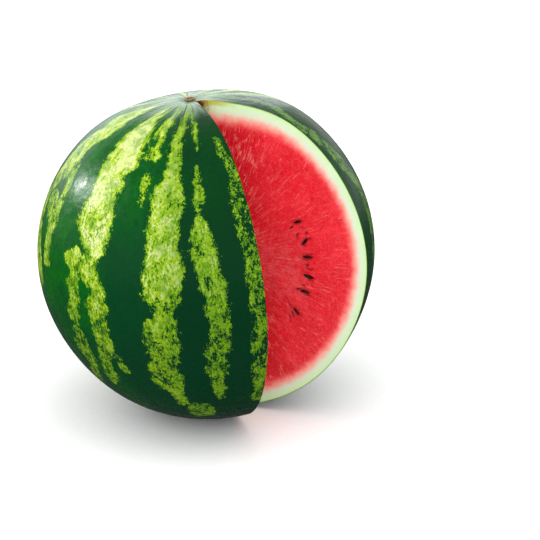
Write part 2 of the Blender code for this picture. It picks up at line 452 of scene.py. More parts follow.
def numbered_sheets():
    """Three arrays of point numbers, skin, right face and left face, that share numbers along their edges."""
    skin = np.zeros((RAYS + 1, SKIN_COLUMNS + 1), int)
    skin[1:-1] = 3 + np.arange((RAYS - 1) * (SKIN_COLUMNS + 1)).reshape(RAYS - 1, SKIN_COLUMNS + 1)
    skin[0], skin[-1] = 0, 1
    following = 3 + (RAYS - 1) * (SKIN_COLUMNS + 1)
    inner = CUT_STEPS - 1
    upper_line = following + np.arange(inner)
    lower_line = upper_line + inner
    following += 2 * inner
    sheets = [skin]
    for rim_column in (0, SKIN_COLUMNS):
        face = np.full((RAYS + 1, CUT_STEPS + 1), 2)
        face[1:-1, 1:-1] = following + np.arange((RAYS - 1) * inner).reshape(RAYS - 1, inner)
        following += (RAYS - 1) * inner
        face[0, 1:-1], face[-1, 1:-1] = upper_line, lower_line
        face[:, -1] = skin[:, rim_column]
        sheets.append(face)
    return sheets, following


def polygons(sheet, flat_map, turned):
    """The sheet's polygons as (three-cornered, four-cornered) pairs of point numbers and map places.
    turned swaps the order of the corners, so that the faces look outwards."""
    rows, columns = np.meshgrid(np.arange(sheet.shape[0] - 1), np.arange(sheet.shape[1] - 1), indexing="ij")
    rows, columns = rows.ravel(), columns.ravel()
    corner_rows = np.stack([rows, rows + 1, rows + 1, rows], axis=1)
    corner_columns = np.stack([columns, columns, columns + 1, columns + 1], axis=1)
    if turned:
        corner_rows, corner_columns = corner_rows[:, ::-1], corner_columns[:, ::-1]
    numbers = sheet[corner_rows, corner_columns]
    places = flat_map[corner_rows, corner_columns]
    repeated = numbers == np.roll(numbers, -1, axis=1)
    whole = ~repeated.any(axis=1)
    short = repeated.sum(axis=1) == 1
    keep = ~repeated[short]
    triangles = numbers[short][keep].reshape(-1, 3), places[short][keep].reshape(-1, 3, 2)
    return triangles, (numbers[whole], places[whole])


def skin_map():
    """The skin unrolled: longitude across, and the ray's angle downwards."""
    across = MAP_MARGIN + (1.0 - 2.0 * MAP_MARGIN) * np.linspace(0.0, 1.0, SKIN_COLUMNS + 1)
    height = 1.0 - MAP_MARGIN - SKIN_MAP_LOW
    up = SKIN_MAP_LOW + height * (1.0 - ray / np.pi)
    return np.stack(np.broadcast_arrays(across[None, :], up[:, None]), axis=-1)


def face_map(face, left_edge):
    """The cut face as it is, lying on its straight side: height across, and distance outward upwards."""
    size = (0.5 - 2.0 * MAP_MARGIN) / (2.06 * EQUATOR_RADIUS)
    across = left_edge + 0.25 + face["up"] * size
    return np.stack((across, MAP_MARGIN + face["out"] * size), axis=-1)


(skin_sheet, right_sheet, left_sheet), point_count = numbered_sheets()
skin_points = knife_middle + skin_reach[..., None] * ball_direction(ray[:, None], column[None, :])
print("points in the melon's mesh:", point_count)

# %% [markdown]
# ## From arrays to a mesh
# A mesh is points, polygons and, for each polygon, the material that it takes. The helper below is given
# those as whole arrays and hands them to Blender in single calls. Smooth shading hides the polygons, and
# the edges along the two rims and the knife line are marked sharp, because a knife leaves crisp edges.

# %% Making a mesh
def mesh_object(name, points, parts, values=None):
    """An object of these points. parts is a list of (material number, point numbers, map places or None), and
    values holds named numbers for each point, for the materials to read."""
    mesh = bpy.data.meshes.new(name)
    sizes = np.concatenate([np.full(len(numbers), numbers.shape[1]) for _, numbers, _ in parts])
    corners = np.concatenate([numbers.ravel() for _, numbers, _ in parts])
    starts = np.concatenate([[0], np.cumsum(sizes)[:-1]])
    mesh.vertices.add(len(points))
    mesh.vertices.foreach_set("co", np.asarray(points, np.float32).ravel())
    mesh.loops.add(len(corners))
    mesh.loops.foreach_set("vertex_index", corners.astype(np.int32))
    mesh.polygons.add(len(sizes))
    mesh.polygons.foreach_set("loop_start", starts.astype(np.int32))
    mesh.polygons.foreach_set("loop_total", sizes.astype(np.int32))
    slots = np.concatenate([np.full(len(numbers), slot) for slot, numbers, _ in parts])
    mesh.polygons.foreach_set("material_index", slots.astype(np.int32))
    if all(places is not None for _, _, places in parts):
        layer = mesh.uv_layers.new(name="OFBake")
        flat = np.concatenate([places.reshape(-1, 2) for _, _, places in parts])
        layer.uv.foreach_set("vector", flat.astype(np.float32).ravel())
    for label, numbers in (values or {}).items():
        attribute = mesh.attributes.new(label, "FLOAT", "POINT")
        attribute.data.foreach_set("value", np.asarray(numbers, np.float32))
    mesh.update(calc_edges=True)
    mesh.validate(verbose=False)
    mesh.shade_smooth()
    thing = bpy.data.objects.new(name, mesh)
    bpy.context.scene.collection.objects.link(thing)
    return thing


def mark_sharp(thing, lines):
    """Marks as sharp each edge whose two ends lie on one of the lines, given as arrays of point numbers."""
    mesh = thing.data
    ends = np.empty(len(mesh.edges) * 2, np.int32)
    mesh.edges.foreach_get("vertices", ends)
    ends = ends.reshape(-1, 2)
    sharp = np.zeros(len(ends), bool)
    for line in lines:
        on_line = np.zeros(len(mesh.vertices), bool)
        on_line[line] = True
        sharp |= on_line[ends].all(axis=1)
    mesh.attributes.new("sharp_edge", "BOOLEAN", "EDGE").data.foreach_set("value", sharp)


def open_edges(thing):
    """How many edges don't lie between exactly two polygons. 0 means that the mesh is closed."""
    mesh = thing.data
    corner_edges = np.empty(len(mesh.loops), np.int32)
    mesh.loops.foreach_get("edge_index", corner_edges)
    return int((np.bincount(corner_edges, minlength=len(mesh.edges)) != 2).sum())


print("three sheets of points wait to be joined:", skin_sheet.shape, right_sheet.shape, left_sheet.shape)

# %% [markdown]
# ## The melon's mesh
# Now the three sheets are put together. The mesh also carries four numbers at each point for the cut face's
# colours: how deep it lies in the rind, its ray's angle, how far out it is, and how much of a hollow it is.
# A closed mesh has a volume, which is printed with its count of open edges.

# %% The melon's mesh
def melon_object():
    """Skin and both cut faces as one closed mesh, standing in its place."""
    points = np.zeros((point_count, 3))
    values = {label: np.zeros(point_count) for label in ("rind", "ray", "far", "hollow")}
    values["ray"][skin_sheet] = ray[:, None]
    values["far"][skin_sheet] = skin_reach
    for sheet, face in ((right_sheet, faces[1]), (left_sheet, faces[-1])):
        points[sheet] = face["points"]
        for label in values:
            values[label][sheet] = face[label]
    points[skin_sheet] = skin_points  # after the cut faces, so that the rims are exactly the skin's
    parts = []
    for sheet, slot, turned, flat_map in (
        (skin_sheet, 0, False, skin_map()),
        (right_sheet, 1, False, face_map(faces[1], 0.5)),
        (left_sheet, 1, True, face_map(faces[-1], 0.0)),
    ):
        parts += [(slot, numbers, places) for numbers, places in polygons(sheet, flat_map, turned)]
    made = mesh_object("melon", stand(points), parts, values)
    mark_sharp(made, (right_sheet[:, -1], left_sheet[:, -1], right_sheet[0], right_sheet[-1]))
    return made


def litres(thing):
    """The volume that the mesh encloses: the sum over its triangles of a . (b x c) / 6."""
    mesh = thing.data
    mesh.calc_loop_triangles()
    numbers = np.empty(len(mesh.loop_triangles) * 3, np.int32)
    mesh.loop_triangles.foreach_get("vertices", numbers)
    points = np.empty(len(mesh.vertices) * 3, np.float32)
    mesh.vertices.foreach_get("co", points)
    a, b, c = points.reshape(-1, 3).astype(float)[numbers.reshape(-1, 3)].transpose(1, 0, 2)
    return 1000.0 * float((a * np.cross(b, c)).sum() / 6.0)


def report(thing):
    """Prints what a finished piece is made of."""
    thing.data.calc_loop_triangles()
    count = len(thing.data.loop_triangles)
    print(f"{thing.name}: {count} triangles, {open_edges(thing)} open edges, {litres(thing):.5f} litres")


melon = melon_object()
report(melon)

# %% [markdown]
# ## The seeds
# A watermelon seed is a flat drop: pointed where it hung in the fruit, round at the other end, with a rolled
# rim and two small dents beside the point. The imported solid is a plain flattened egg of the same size.
# A finer surface is worked out on a grid of two angles, one from end to end and one round the seed,
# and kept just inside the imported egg, so that it still fits its pocket.

# %% The seeds' surface
SEED_TAPER = 0.28
SEED_ALONG = 40
SEED_AROUND = 48
SEED_SHRINK = 0.985
SEED_FLATTER = 0.02
SEED_UNEVEN = 0.018
RIM_ROLL = 0.05
RIM_AT, RIM_WIDTH = 0.72, 0.14  # as shares of the half width
RIM_LENGTH = 0.75
DENT = 0.16
DENT_ALONG, DENT_LENGTH = 0.70, 0.12
DENT_ASIDE, DENT_WIDTH = 0.26, 0.10
SEED_NETS = 300


def seed_points(halves, start):
    """An egg about its own middle. Its length is -cos(u) and its cross-section sin(u) times (cos w, sin w),
    both narrowed towards the point by 1 - taper * length. The flat sides are raised along a rolled rim and
    dented on both sides of the point, and a little unevenness is added all over."""
    u = np.linspace(0.0, np.pi, SEED_ALONG + 1)[:, None]
    w = np.linspace(0.0, 2.0 * np.pi, SEED_AROUND + 1)[None, :-1]
    length = -np.cos(u) * np.ones_like(w)
    narrowing = 1.0 - SEED_TAPER * length
    side = np.sin(u) * np.cos(w)
    thick = np.sin(u) * np.sin(w)
    rim = bump(np.abs(side) - RIM_AT, RIM_WIDTH, 2) * bump(length, RIM_LENGTH, 4)
    dent = bump(length - DENT_ALONG, DENT_LENGTH, 2) * bump(np.abs(side) - DENT_ASIDE, DENT_WIDTH, 2)
    uneven_skin = SEED_UNEVEN * rough(length * 5.0 + 20.0, side * 4.0 + 20.0, start)
    thick = thick * (SEED_SHRINK - RIM_ROLL * (1.0 - rim) - DENT * dent - SEED_FLATTER + uneven_skin)
    points = np.stack((length * SEED_SHRINK, side * narrowing * SEED_SHRINK, thick * narrowing), axis=-1)
    return points * halves


def ball_polygons(rows, columns):
    """Point numbers for a closed grid: row 0 and the last row are single points, and the columns join up."""
    sheet = np.zeros((rows + 1, columns + 1), int)
    sheet[1:-1, :-1] = 2 + np.arange((rows - 1) * columns).reshape(rows - 1, columns)
    sheet[:, -1] = sheet[:, 0]
    sheet[0], sheet[-1] = 0, 1
    return sheet


def closed_grid(name, points, turned):
    """A closed object from a grid of points whose first and last rows are each one point."""
    rows, columns = points.shape[0] - 1, points.shape[1]
    sheet = ball_polygons(rows, columns)
    flat = np.zeros((sheet.max() + 1, 3))
    flat[sheet[:, :-1]] = points
    no_map = np.zeros(sheet.shape + (2,))
    parts = [(0, numbers, None) for numbers, _ in polygons(sheet, no_map, turned)]
    return mesh_object(name, flat, parts)


def add_seed(number, name):
    """One seed in its packed place: along its length, across its width and through its thickness."""
    middle, axes, halves = seeds[name]
    points = seed_points(halves, SEED_NETS + number) @ axes + middle
    return closed_grid(name.replace("seed", "fine_seed"), points, True)


fine_seeds = {name: add_seed(number, name) for number, name in enumerate(seed_names)}
report(fine_seeds[seed_names[0]])

# %% [markdown]
# ## The stump of the stem
# Where the stalk dried off, a small corky button is left: a ring of rough brown tissue round a darker
# dished middle, split by fine cracks. It is round but not turned on a lathe, so a plain spun profile looks
# too clean. Here a profile is carried round the stem's axis, and made uneven with the angle.

# %% The stump's surface
STUB_RADIUS = 0.0046
STUB_HEIGHT = 0.0030
STUB_AROUND = 144
STUB_ALONG = 72
STUB_OUTLINE = (  # (radius, height) from the dish's middle over the ring and down to the root's tip
    (0.0, 0.30), (0.40, 0.36), (0.62, 0.62), (0.80, 0.68), (0.93, 0.58), (0.985, 0.42),
    (0.97, 0.24), (0.86, 0.10), (0.60, 0.02), (0.52, -0.35), (0.44, -1.45), (0.0, -1.48),
)
CORK_RIDGES = 17.0
RIDGE_WANDER = 1.6
RIDGE_DEPTH = 0.10
OUT_OF_ROUND = 0.06
CRUMB_SIZE = 0.0011
TOP_SINK, CRUMB_DEPTH, GROOVE_DEPTH = 0.00022, 0.00016, 0.00020


def stub_profile():
    """(radius, height) along the outline, blended between its points by the distance walked along it."""
    radius, height = (np.array(STUB_OUTLINE) * (STUB_RADIUS, STUB_HEIGHT)).T
    walked = np.concatenate([[0.0], np.cumsum(np.hypot(np.diff(radius), np.diff(height)))])
    wanted = np.linspace(0.0, walked[-1], STUB_ALONG + 1)
    return np.interp(wanted, walked, radius), np.interp(wanted, walked, height)


def stub_points():
    """The profile round the axis. Cork ridges draw the radius in by |sin(ridges / 2 * angle + wander)| on the
    ring's outer side, and crumbs lower the top."""
    radius, height = stub_profile()
    angle = np.linspace(0.0, 2.0 * np.pi, STUB_AROUND + 1)[None, :-1]
    radius, height = radius[:, None], height[:, None]
    wander = RIDGE_WANDER * uneven(np.cos(angle) * 3.0 + 50.0, np.sin(angle) * 3.0 + 50.0, 500)
    ridge = np.abs(np.sin(0.5 * CORK_RIDGES * angle + wander)) ** 0.7
    outside = ramp_up(radius / STUB_RADIUS, 0.55, 0.9) * ramp_up(height / STUB_HEIGHT, 0.0, 0.35)
    out_of_round = OUT_OF_ROUND * uneven(np.cos(angle) + 80.0, np.sin(angle) + 80.0, 510)
    wide = radius * (1.0 - RIDGE_DEPTH * outside * (1.0 - ridge) - np.abs(out_of_round) * outside)
    x, y = wide * np.cos(angle), wide * np.sin(angle)
    crumbs = rough(x / CRUMB_SIZE + 60.0, y / CRUMB_SIZE + 60.0, 520, 4)
    top = ramp_up(height / STUB_HEIGHT, 0.1, 0.5)
    tall = height - top * (TOP_SINK + CRUMB_DEPTH * crumbs + GROOVE_DEPTH * (1.0 - ridge) * outside)
    return np.stack((x, y, tall), axis=-1)


stem_foot = np.array((0.0, 0.0, float(skin_radius(0.0, 0.0))))
stem = closed_grid("stem_stump", stand(stub_points() + stem_foot), False)
report(stem)

# %% [markdown]
# ## Building finishes from nodes
# Every colour here comes from a small network of nodes that is evaluated at each point of the surface.
# Typing such networks out by hand is long, so this little helper adds one node per call and returns its
# output, ready to be handed to the next call.

# %% A helper for node networks
class Network:
    """Adds nodes to one material. An input may be given as a number, a colour, or another node's output."""

    def __init__(self, name):
        self.material = bpy.data.materials.new(name)
        self.material.use_nodes = True
        self.tree = self.material.node_tree
        self.shader = self.tree.nodes["Principled BSDF"]

    def node(self, kind, inputs=(), output=0, **settings):
        """One node of this kind with its inputs fed, as one of its outputs."""
        made = self.tree.nodes.new(kind)
        for label, value in settings.items():
            setattr(made, label, value)
        for place, value in dict(inputs).items():
            self.feed(made.inputs[place], value)
        return made.outputs[output]

    def feed(self, socket, value):
        """Links another node's output to a socket, or sets the socket to a number, a vector or a colour."""
        if isinstance(value, bpy.types.NodeSocket):
            self.tree.links.new(value, socket)
        elif isinstance(value, tuple) and len(value) == 3 and socket.type == "RGBA":
            socket.default_value = (*value, 1.0)
        else:
            socket.default_value = value

    def coat(self, inputs):
        """Feeds the shader's inputs by name, and gives the finished material."""
        for label, value in inputs.items():
            self.feed(self.shader.inputs[label], value)
        return self.material

    def calc(self, operation, first, second=0.0, third=0.0):
        return self.node("ShaderNodeMath", {0: first, 1: second, 2: third}, operation=operation)

    def times(self, first, second):
        return self.calc("MULTIPLY", first, second)

    def less(self, first, second):
        return self.calc("SUBTRACT", first, second)

    def plus_times(self, base, first, second):
        """base + first * second."""
        return self.calc("MULTIPLY_ADD", first, second, base)

    def scaled(self, vector, by):
        return self.node("ShaderNodeVectorMath", {0: vector, 1: by}, operation="MULTIPLY")

    def shifted(self, vector, by):
        return self.node("ShaderNodeVectorMath", {0: vector, 1: by}, operation="ADD")

    def length(self, vector):
        return self.node("ShaderNodeVectorMath", {0: vector}, "Value", operation="LENGTH")

    def joined(self, x, y, z):
        return self.node("ShaderNodeCombineXYZ", {0: x, 1: y, 2: z})

    def noise(self, vector, size, detail=2.0, rough_share=0.5, output="Fac"):
        """Cloudy noise from 0 to 1 whose lumps are about size wide, in the vector's own unit."""
        inputs = {"Vector": vector, "Scale": 1.0 / size, "Detail": detail, "Roughness": rough_share}
        return self.node("ShaderNodeTexNoise", inputs, output)

    def swing(self, vector, size, detail=2.0, rough_share=0.5):
        """The same noise less a half, so that it swings to both sides of 0."""
        return self.less(self.noise(vector, size, detail, rough_share), 0.5)

    def cells(self, vector, size, feature="F1"):
        """Cells about size wide: the distance to their middles, or with DISTANCE_TO_EDGE to their walls."""
        inputs = {"Vector": vector, "Scale": 1.0 / size}
        return self.node("ShaderNodeTexVoronoi", inputs, "Distance", feature=feature)

    def between(self, value, low, high, to_low=0.0, to_high=1.0):
        """A smooth step from to_low to to_high as value goes from low to high."""
        inputs = {0: value, 1: low, 2: high, 3: to_low, 4: to_high}
        return self.node("ShaderNodeMapRange", inputs, interpolation_type="SMOOTHSTEP")

    def between_straight(self, value, low, high):
        """0 at low, 1 at high and a straight line between."""
        return self.node("ShaderNodeMapRange", {0: value, 1: low, 2: high})

    def mix(self, share, first, second):
        return self.node("ShaderNodeMix", {0: share, 6: first, 7: second}, 2, data_type="RGBA")

    def layered(self, colour, layers):
        """The colour with each (share, colour) of the layers laid over it in turn."""
        for share, over in layers:
            colour = self.mix(share, colour, over)
        return colour

    def ramp(self, share, stops):
        """A run of colours, given as (place from 0 to 1, colour)."""
        made = self.tree.nodes.new("ShaderNodeValToRGB")
        band = made.color_ramp
        band.elements[0].position, band.elements[1].position = stops[0][0], stops[-1][0]
        for place, _ in stops[1:-1]:
            band.elements.new(place)
        for element, (_, colour) in zip(band.elements, stops):
            element.color = (*colour, 1.0)
        self.feed(made.inputs[0], share)
        return made.outputs[0]

    def curve(self, share, points):
        """A smooth curve through a few (place, height) points, both from 0 to 1."""
        made = self.tree.nodes.new("ShaderNodeFloatCurve")
        line = made.mapping.curves[0]
        line.points[0].location, line.points[1].location = points[0], points[-1]
        for x, y in points[1:-1]:
            line.points.new(x, y)
        for point in line.points:
            point.handle_type = "AUTO_CLAMPED"
        made.mapping.update()
        self.feed(made.inputs["Value"], share)
        return made.outputs[0]

    def own(self, label):
        """A number that the mesh carries at each point."""
        return self.node("ShaderNodeAttribute", output="Fac", attribute_name=label)

    def place(self):
        return self.node("ShaderNodeTexCoord", output="Object")

    def relief(self, height, distance, strength=1.0, under=None):
        """A fine relief, in metres of distance, laid over the one under it."""
        inputs = {"Height": height, "Distance": distance, "Strength": strength}
        if under is not None:
            inputs["Normal"] = under
        return self.node("ShaderNodeBump", inputs)


def srgb(red, green, blue):
    """A colour as a screen counts it, 0 to 255, turned into the light that the renderer works with."""
    share = np.array((red, green, blue)) / 255.0
    light = np.where(share <= 0.04045, share / 12.92, ((share + 0.055) / 1.055) ** 2.4)
    return tuple(float(part) for part in light)


print("a leaf green:", np.round(srgb(20, 100, 30), 3))

# %% [markdown]
# ## The stripes
# A watermelon's light stripes run from stem to blossom end, but no two are alike: they swell, pinch, fork
# and break up, and their edges are torn into fine teeth. A repeated wave would look like wallpaper. So
# each stripe is told by a few places: how far down from the stem, and the turn of its left and right edge,
# in degrees counted from the back of the fruit. The number before them says how many millimetres the light
# colour may build up inside the stripe. A low one lets the dark mottling break through, and one below 0
# leaves only scattered flecks.

# %% The stripes on the near side
# Each stripe: mm of light colour, then (degrees down, left edge, right edge)
# The stripes next to the cut on both sides get low numbers, which keeps them dark: partly their own mottling,
# partly painted shade where the fruit turns away from the light.
NEAR_STRIPES = (
    (4.2, ((8, 89, 99), (13, 85.5, 103), (20, 88.5, 105), (27, 89, 109), (34, 90, 111), (41, 89.5, 110.5),
        (45, 90.5, 106), (52, 90.5, 105.2), (57, 89, 105), (61, 88, 105), (66, 91, 104.5), (71, 95, 103))),
    (1.7, ((69, 96, 100), (74, 94, 100), (79, 93, 101.5), (84, 97.5, 103), (88, 95, 103.5), (93, 95.5, 102),
        (98, 95.5, 102), (103, 96, 101.5), (108, 94.5, 99), (114, 92.5, 97.5), (121, 91, 94.5))),
    (1.5, ((71, 88, 93), (74, 84.5, 95), (78, 88, 97), (82, 86, 91.5), (87, 86.5, 91), (91, 84.5, 90),
        (96, 87, 90))),
    (0.2, ((98, 86, 88.5), (103, 83.5, 90), (108, 82, 89.5), (113, 84, 89), (119, 80, 85), (126, 76, 80))),
    (0.1, ((106, 100.5, 103), (109, 101, 105), (113, 102, 105))),
    (2.8, ((7, 129, 138), (12, 130, 137.5), (18, 129.5, 135.5), (23, 128.5, 134.5), (28, 127, 132.5),
        (34, 125.5, 131.5), (40, 125, 131.5), (45, 124.5, 131), (49, 121.5, 131.5), (53, 120, 132),
        (60, 119, 131.5), (66, 119, 130.2), (72, 118.3, 130.7), (79, 117, 130.8), (84, 117.5, 128.5),
        (87, 119.5, 127.5), (89.5, 120.5, 126.5), (92, 117, 127.5), (98, 115.8, 126.5), (105, 116, 126),
        (110, 114, 124.5), (115, 114.5, 125.5), (122, 117.5, 123.8), (130, 118.5, 123))),
    (3.0, ((7, 138, 141.5), (13, 136.5, 142), (20, 137.5, 142), (26, 138, 142.2), (31, 139.5, 142),
        (36, 140.2, 141.4))),
    (2.6, ((7, 117, 122), (13, 113.5, 122), (21, 113.5, 122), (27, 115, 120.8), (33, 116, 120.5),
        (39, 117.7, 120.3))),
    (0.5, ((24, 111.5, 115), (31, 112.5, 116.5), (38, 112.5, 117))),
    (0.5, ((45, 115.5, 117), (50, 115, 117), (55, 115.5, 116.5))),
    (1.6, ((59, 137.6, 138.6), (63, 135.3, 140.5), (67, 134.5, 141.2), (72, 134.8, 142.4),
        (78, 135.8, 142.8), (84, 137, 144), (88, 136.3, 144), (94, 137.5, 144), (101, 136.5, 143),
        (110, 135, 141.5), (120, 136, 140), (128, 137, 139))),
    (0.7, ((43, 137.8, 139), (48, 137.3, 140), (53, 137, 141), (57, 136.5, 139))),
    (-0.3, ((33, 151.5, 153), (38, 150.8, 154), (44, 152.3, 156), (49, 151.8, 157), (57, 151, 157),
        (66, 150.5, 157), (75, 152, 157), (81, 151, 157), (92, 151.5, 158), (106, 150.5, 158),
        (120, 152, 158), (132, 153, 157))),
    (1.9, ((9, 50, 58), (15, 43, 66), (21, 44, 71), (26, 47, 75), (31, 54, 76), (35, 55, 73), (40, 52, 70),
        (45, 51, 70), (50, 52, 67), (56, 51.5, 60), (61, 50, 57.5), (66, 49.5, 59), (72, 49, 62),
        (80, 49, 66), (87, 48.5, 67), (92, 47.5, 60), (100, 46, 54.5), (110, 45, 53), (120, 45, 51.5),
        (130, 46, 50))),
    (1.3, ((44, 66, 71), (50, 69, 74.5), (56, 71, 75.6), (61, 69, 76), (66, 67.5, 75), (72, 68.5, 73.6),
        (79, 69, 74))),
    (1.2, ((57, 61, 69), (60, 59.5, 71), (64, 62, 68))),
    (0.2, ((131, 124, 131), (136, 122, 133), (142, 123, 132))),
    (0.4, ((12, -139, -131), (25, -143.5, -135.5), (38, -155, -149.5), (44, -154.5, -147),
        (52, -151.5, -144), (60, -149.5, -142), (68, -145.5, -136.5), (77, -145.5, -138.5),
        (90, -147, -137), (104, -144.5, -136), (120, -142.5, -138))),
)
print("stripes on the near side:", len(NEAR_STRIPES))

# %% [markdown]
# ## The far side's stripes
# They follow the same habits: evenly placed, widest at the middle, and wandering a little on their way down.
# Drawing them from a fixed run of random numbers is quicker than placing each by hand, and just as natural.

# %% The stripes on the far side
FAR_STRIPES = 6
FAR_FIRST_TURN = -113.0
FAR_SPACING = 26.5
FAR_OFF_PLACE = 2.5
FAR_HALF_WIDTH, FAR_SWELL, FAR_OFF_WIDTH = 4.2, 2.2, 1.9
FAR_DRIFT = 1.3
FAR_LIGHT_MM = (1.4, 3.2)


def far_stripes():
    """At every 12 degrees down, the half width is a base + swell * sin(down) + chance, and the middle is the
    stripe's own turn + the running sum of small chances."""
    dice = np.random.default_rng(71)
    downs = np.arange(10.0, 143.0, 12.0)
    made = []
    for number in range(FAR_STRIPES):
        middle = FAR_FIRST_TURN + FAR_SPACING * number + dice.uniform(-FAR_OFF_PLACE, FAR_OFF_PLACE)
        chance = dice.uniform(-FAR_OFF_WIDTH, FAR_OFF_WIDTH, len(downs))
        half = FAR_HALF_WIDTH + FAR_SWELL * np.sin(np.radians(downs)) + chance
        middles = middle + np.cumsum(dice.uniform(-FAR_DRIFT, FAR_DRIFT, len(downs)))
        stripe = tuple(zip(downs, middles - half, middles + half))
        made.append((float(dice.uniform(*FAR_LIGHT_MM)), stripe))
    return tuple(made)


stripes = NEAR_STRIPES + far_stripes()
print("stripes in all:", len(stripes))

# %% [markdown]
# ## Two angles for every point
# A stripe follows the fruit and not the room, so each point of the skin first needs its own two angles: how
# far down from the stem, and how far round from the back. An image wrapped round the melon would be simpler,
# but it would stretch near the ends, and it couldn't follow a change of shape.

# %% Finding a point's two angles
MM_PER_DEGREE = 1000.0 * EQUATOR_RADIUS * math.pi / 180.0


def fruit_place(net, place):
    """The point about the fruit's own axis: the place turned and shifted back by the lean and the lift."""
    back = Matrix(lean.T.tolist())
    made = net.tree.nodes.new("ShaderNodeMapping")
    made.inputs["Location"].default_value = back @ Vector((0.0, 0.0, -lift))
    made.inputs["Rotation"].default_value = back.to_euler("XYZ")
    net.feed(made.inputs["Vector"], place)
    return made.outputs[0]


def angles(net, fruit):
    """(degrees down = arccos(z / length), degrees of turn = arctan2(-x, y), mm of skin per degree)."""
    split = net.tree.nodes.new("ShaderNodeSeparateXYZ")
    net.feed(split.inputs[0], fruit)
    x, y, z = split.outputs
    down = net.calc("ARCCOSINE", net.calc("DIVIDE", z, net.length(fruit)))
    turn = net.calc("ARCTAN2", net.times(x, -1.0), y)
    per_degree = net.times(net.calc("SINE", down), MM_PER_DEGREE)
    return net.calc("DEGREES", down), net.calc("DEGREES", turn), per_degree


print("mm of skin per degree of turn at the equator: %.2f" % MM_PER_DEGREE)

# %% [markdown]
# ## How deep inside a stripe
# To choose between light and dark green, the network measures in millimetres how far a point lies inside the
# nearest stripe. Each edge is a smooth curve of turn over the way down. A measure is better than a yes or
# no: noise can be added to it later, which tears the edges, and the colour can change with the depth.

# %% Measuring the depth
END_CLOSES_DEG = 3.0
END_CROSSES_DEG = 4.0
FROM_STEM_DEG = 16.0  # a stripe that begins nearer to the stem than this isn't closed there
TURN_RANGE = 360.0
FAR_OUTSIDE_MM = -20.0


def closed_edges(places):
    """(left edge, right edge) as lists of (down, turn). Just past an end the two edges cross, which closes
    the stripe there."""
    left = [(down, a) for down, a, _ in places]
    right = [(down, b) for down, _, b in places]
    ends = [(places[-1], END_CLOSES_DEG)]
    if places[0][0] > FROM_STEM_DEG:
        ends.append((places[0], -END_CLOSES_DEG))
    for (down, a, b), past in ends:
        left.append((down + past, (a + b) / 2.0 + END_CROSSES_DEG))
        right.append((down + past, (a + b) / 2.0 - END_CROSSES_DEG))
    return sorted(left), sorted(right)


def edge_curve(net, down_share, edge):
    """One edge as a curve of turn over how far down, both laid out from 0 to 1 and turned back to degrees."""
    shares = [(down / 180.0, turn / TURN_RANGE + 0.5) for down, turn in edge]
    return net.times(net.less(net.curve(down_share, shares), 0.5), TURN_RANGE)


def stripe_depth(net, down, turn, per_degree, firm):
    """For each stripe the smaller distance to its two edges in mm, at most its own limit times firm, and over
    all the stripes the largest of those."""
    share = net.calc("DIVIDE", down, 180.0)
    deepest = FAR_OUTSIDE_MM
    for most, places in stripes:
        left, right = (edge_curve(net, share, edge) for edge in closed_edges(places))
        inside = net.calc("MINIMUM", net.less(turn, left), net.less(right, turn))
        inside = net.calc("MINIMUM", net.times(inside, per_degree), net.times(firm, most))
        deepest = net.calc("MAXIMUM", inside, deepest)
    return deepest


print("edge curves to make:", 2 * len(stripes))

# %% [markdown]
# ## Torn edges
# A stripe's edge is frayed: broad flames, teeth a few millimetres long and very fine ones, all drawn out
# along the fruit. Round the stem the fraying turns into long strands that fan out from it. Several noises of
# different sizes, each with its own strength in millimetres, are added to the measured depth.

# %% Tearing the edges
DRAWN_OUT = (1.0, 1.0, 0.62)
SWIRL_SIZE, SWIRL = 0.012, 0.008
# the stripes' light colour builds up less on the lower side: painted shade
FIRM_IN_LOWER_SHADE = 0.30
FIRM_PATCHES = (0.55, 1.25)
FIRM_AT_STEM = 1.7
FLAMES_MM, TEETH_MM, FINE_TEETH_MM = 9.0, 10.0, 9.0
STRANDS_MM = 9.0
STRAND_WIDTH_DEG = 1.3
STRAND_SHORTENED = 0.14
CALM_AT_STEM = 0.22


def torn_depth(net, place, steady, drawn_out, steady_down, steady_turn, lower_shade):
    """depth + calm * (teeth + fine teeth + flames) + strands, the depth being measured at a place that is
    swirled a little. The light colour's limit is firmer near the stem, patchy, and weaker below, which paints
    shade on the lower side."""
    swirl = net.shifted(net.noise(place, SWIRL_SIZE, 3.0, 0.55, "Color"), (-0.5, -0.5, -0.5))
    down, turn, per_degree = angles(net, net.shifted(steady, net.scaled(swirl, (SWIRL, SWIRL, SWIRL))))
    patches = net.between(net.noise(place, 0.014), 0.35, 0.62, *FIRM_PATCHES)
    # Painted shade: the light colour builds up less on the lower side.
    firm = net.times(net.between(lower_shade, 0.0, 1.0, 1.0, FIRM_IN_LOWER_SHADE), patches)
    firm = net.times(firm, net.between(steady_down, 44.0, 18.0, 1.0, FIRM_AT_STEM))
    depth = stripe_depth(net, down, turn, per_degree, firm)
    tear = net.times(net.swing(drawn_out, 0.0075, 2.0, 0.55), FLAMES_MM)
    tear = net.plus_times(tear, net.swing(drawn_out, 0.0010, 2.0, 0.6), FINE_TEETH_MM)
    tear = net.plus_times(tear, net.swing(drawn_out, 0.0030, 3.0, 0.68), TEETH_MM)
    tear = net.times(tear, net.between(steady_down, 10.0, 48.0, CALM_AT_STEM, 1.0))
    fan = net.joined(steady_turn, net.times(steady_down, STRAND_SHORTENED), 0.0)
    strands = net.swing(fan, STRAND_WIDTH_DEG, 2.0, 0.6)
    tear = net.plus_times(tear, strands, net.between(steady_down, 58.0, 24.0, 0.0, STRANDS_MM))
    return net.calc("ADD", tear, depth)


print("strengths in mm:", FLAMES_MM, TEETH_MM, FINE_TEETH_MM, STRANDS_MM)
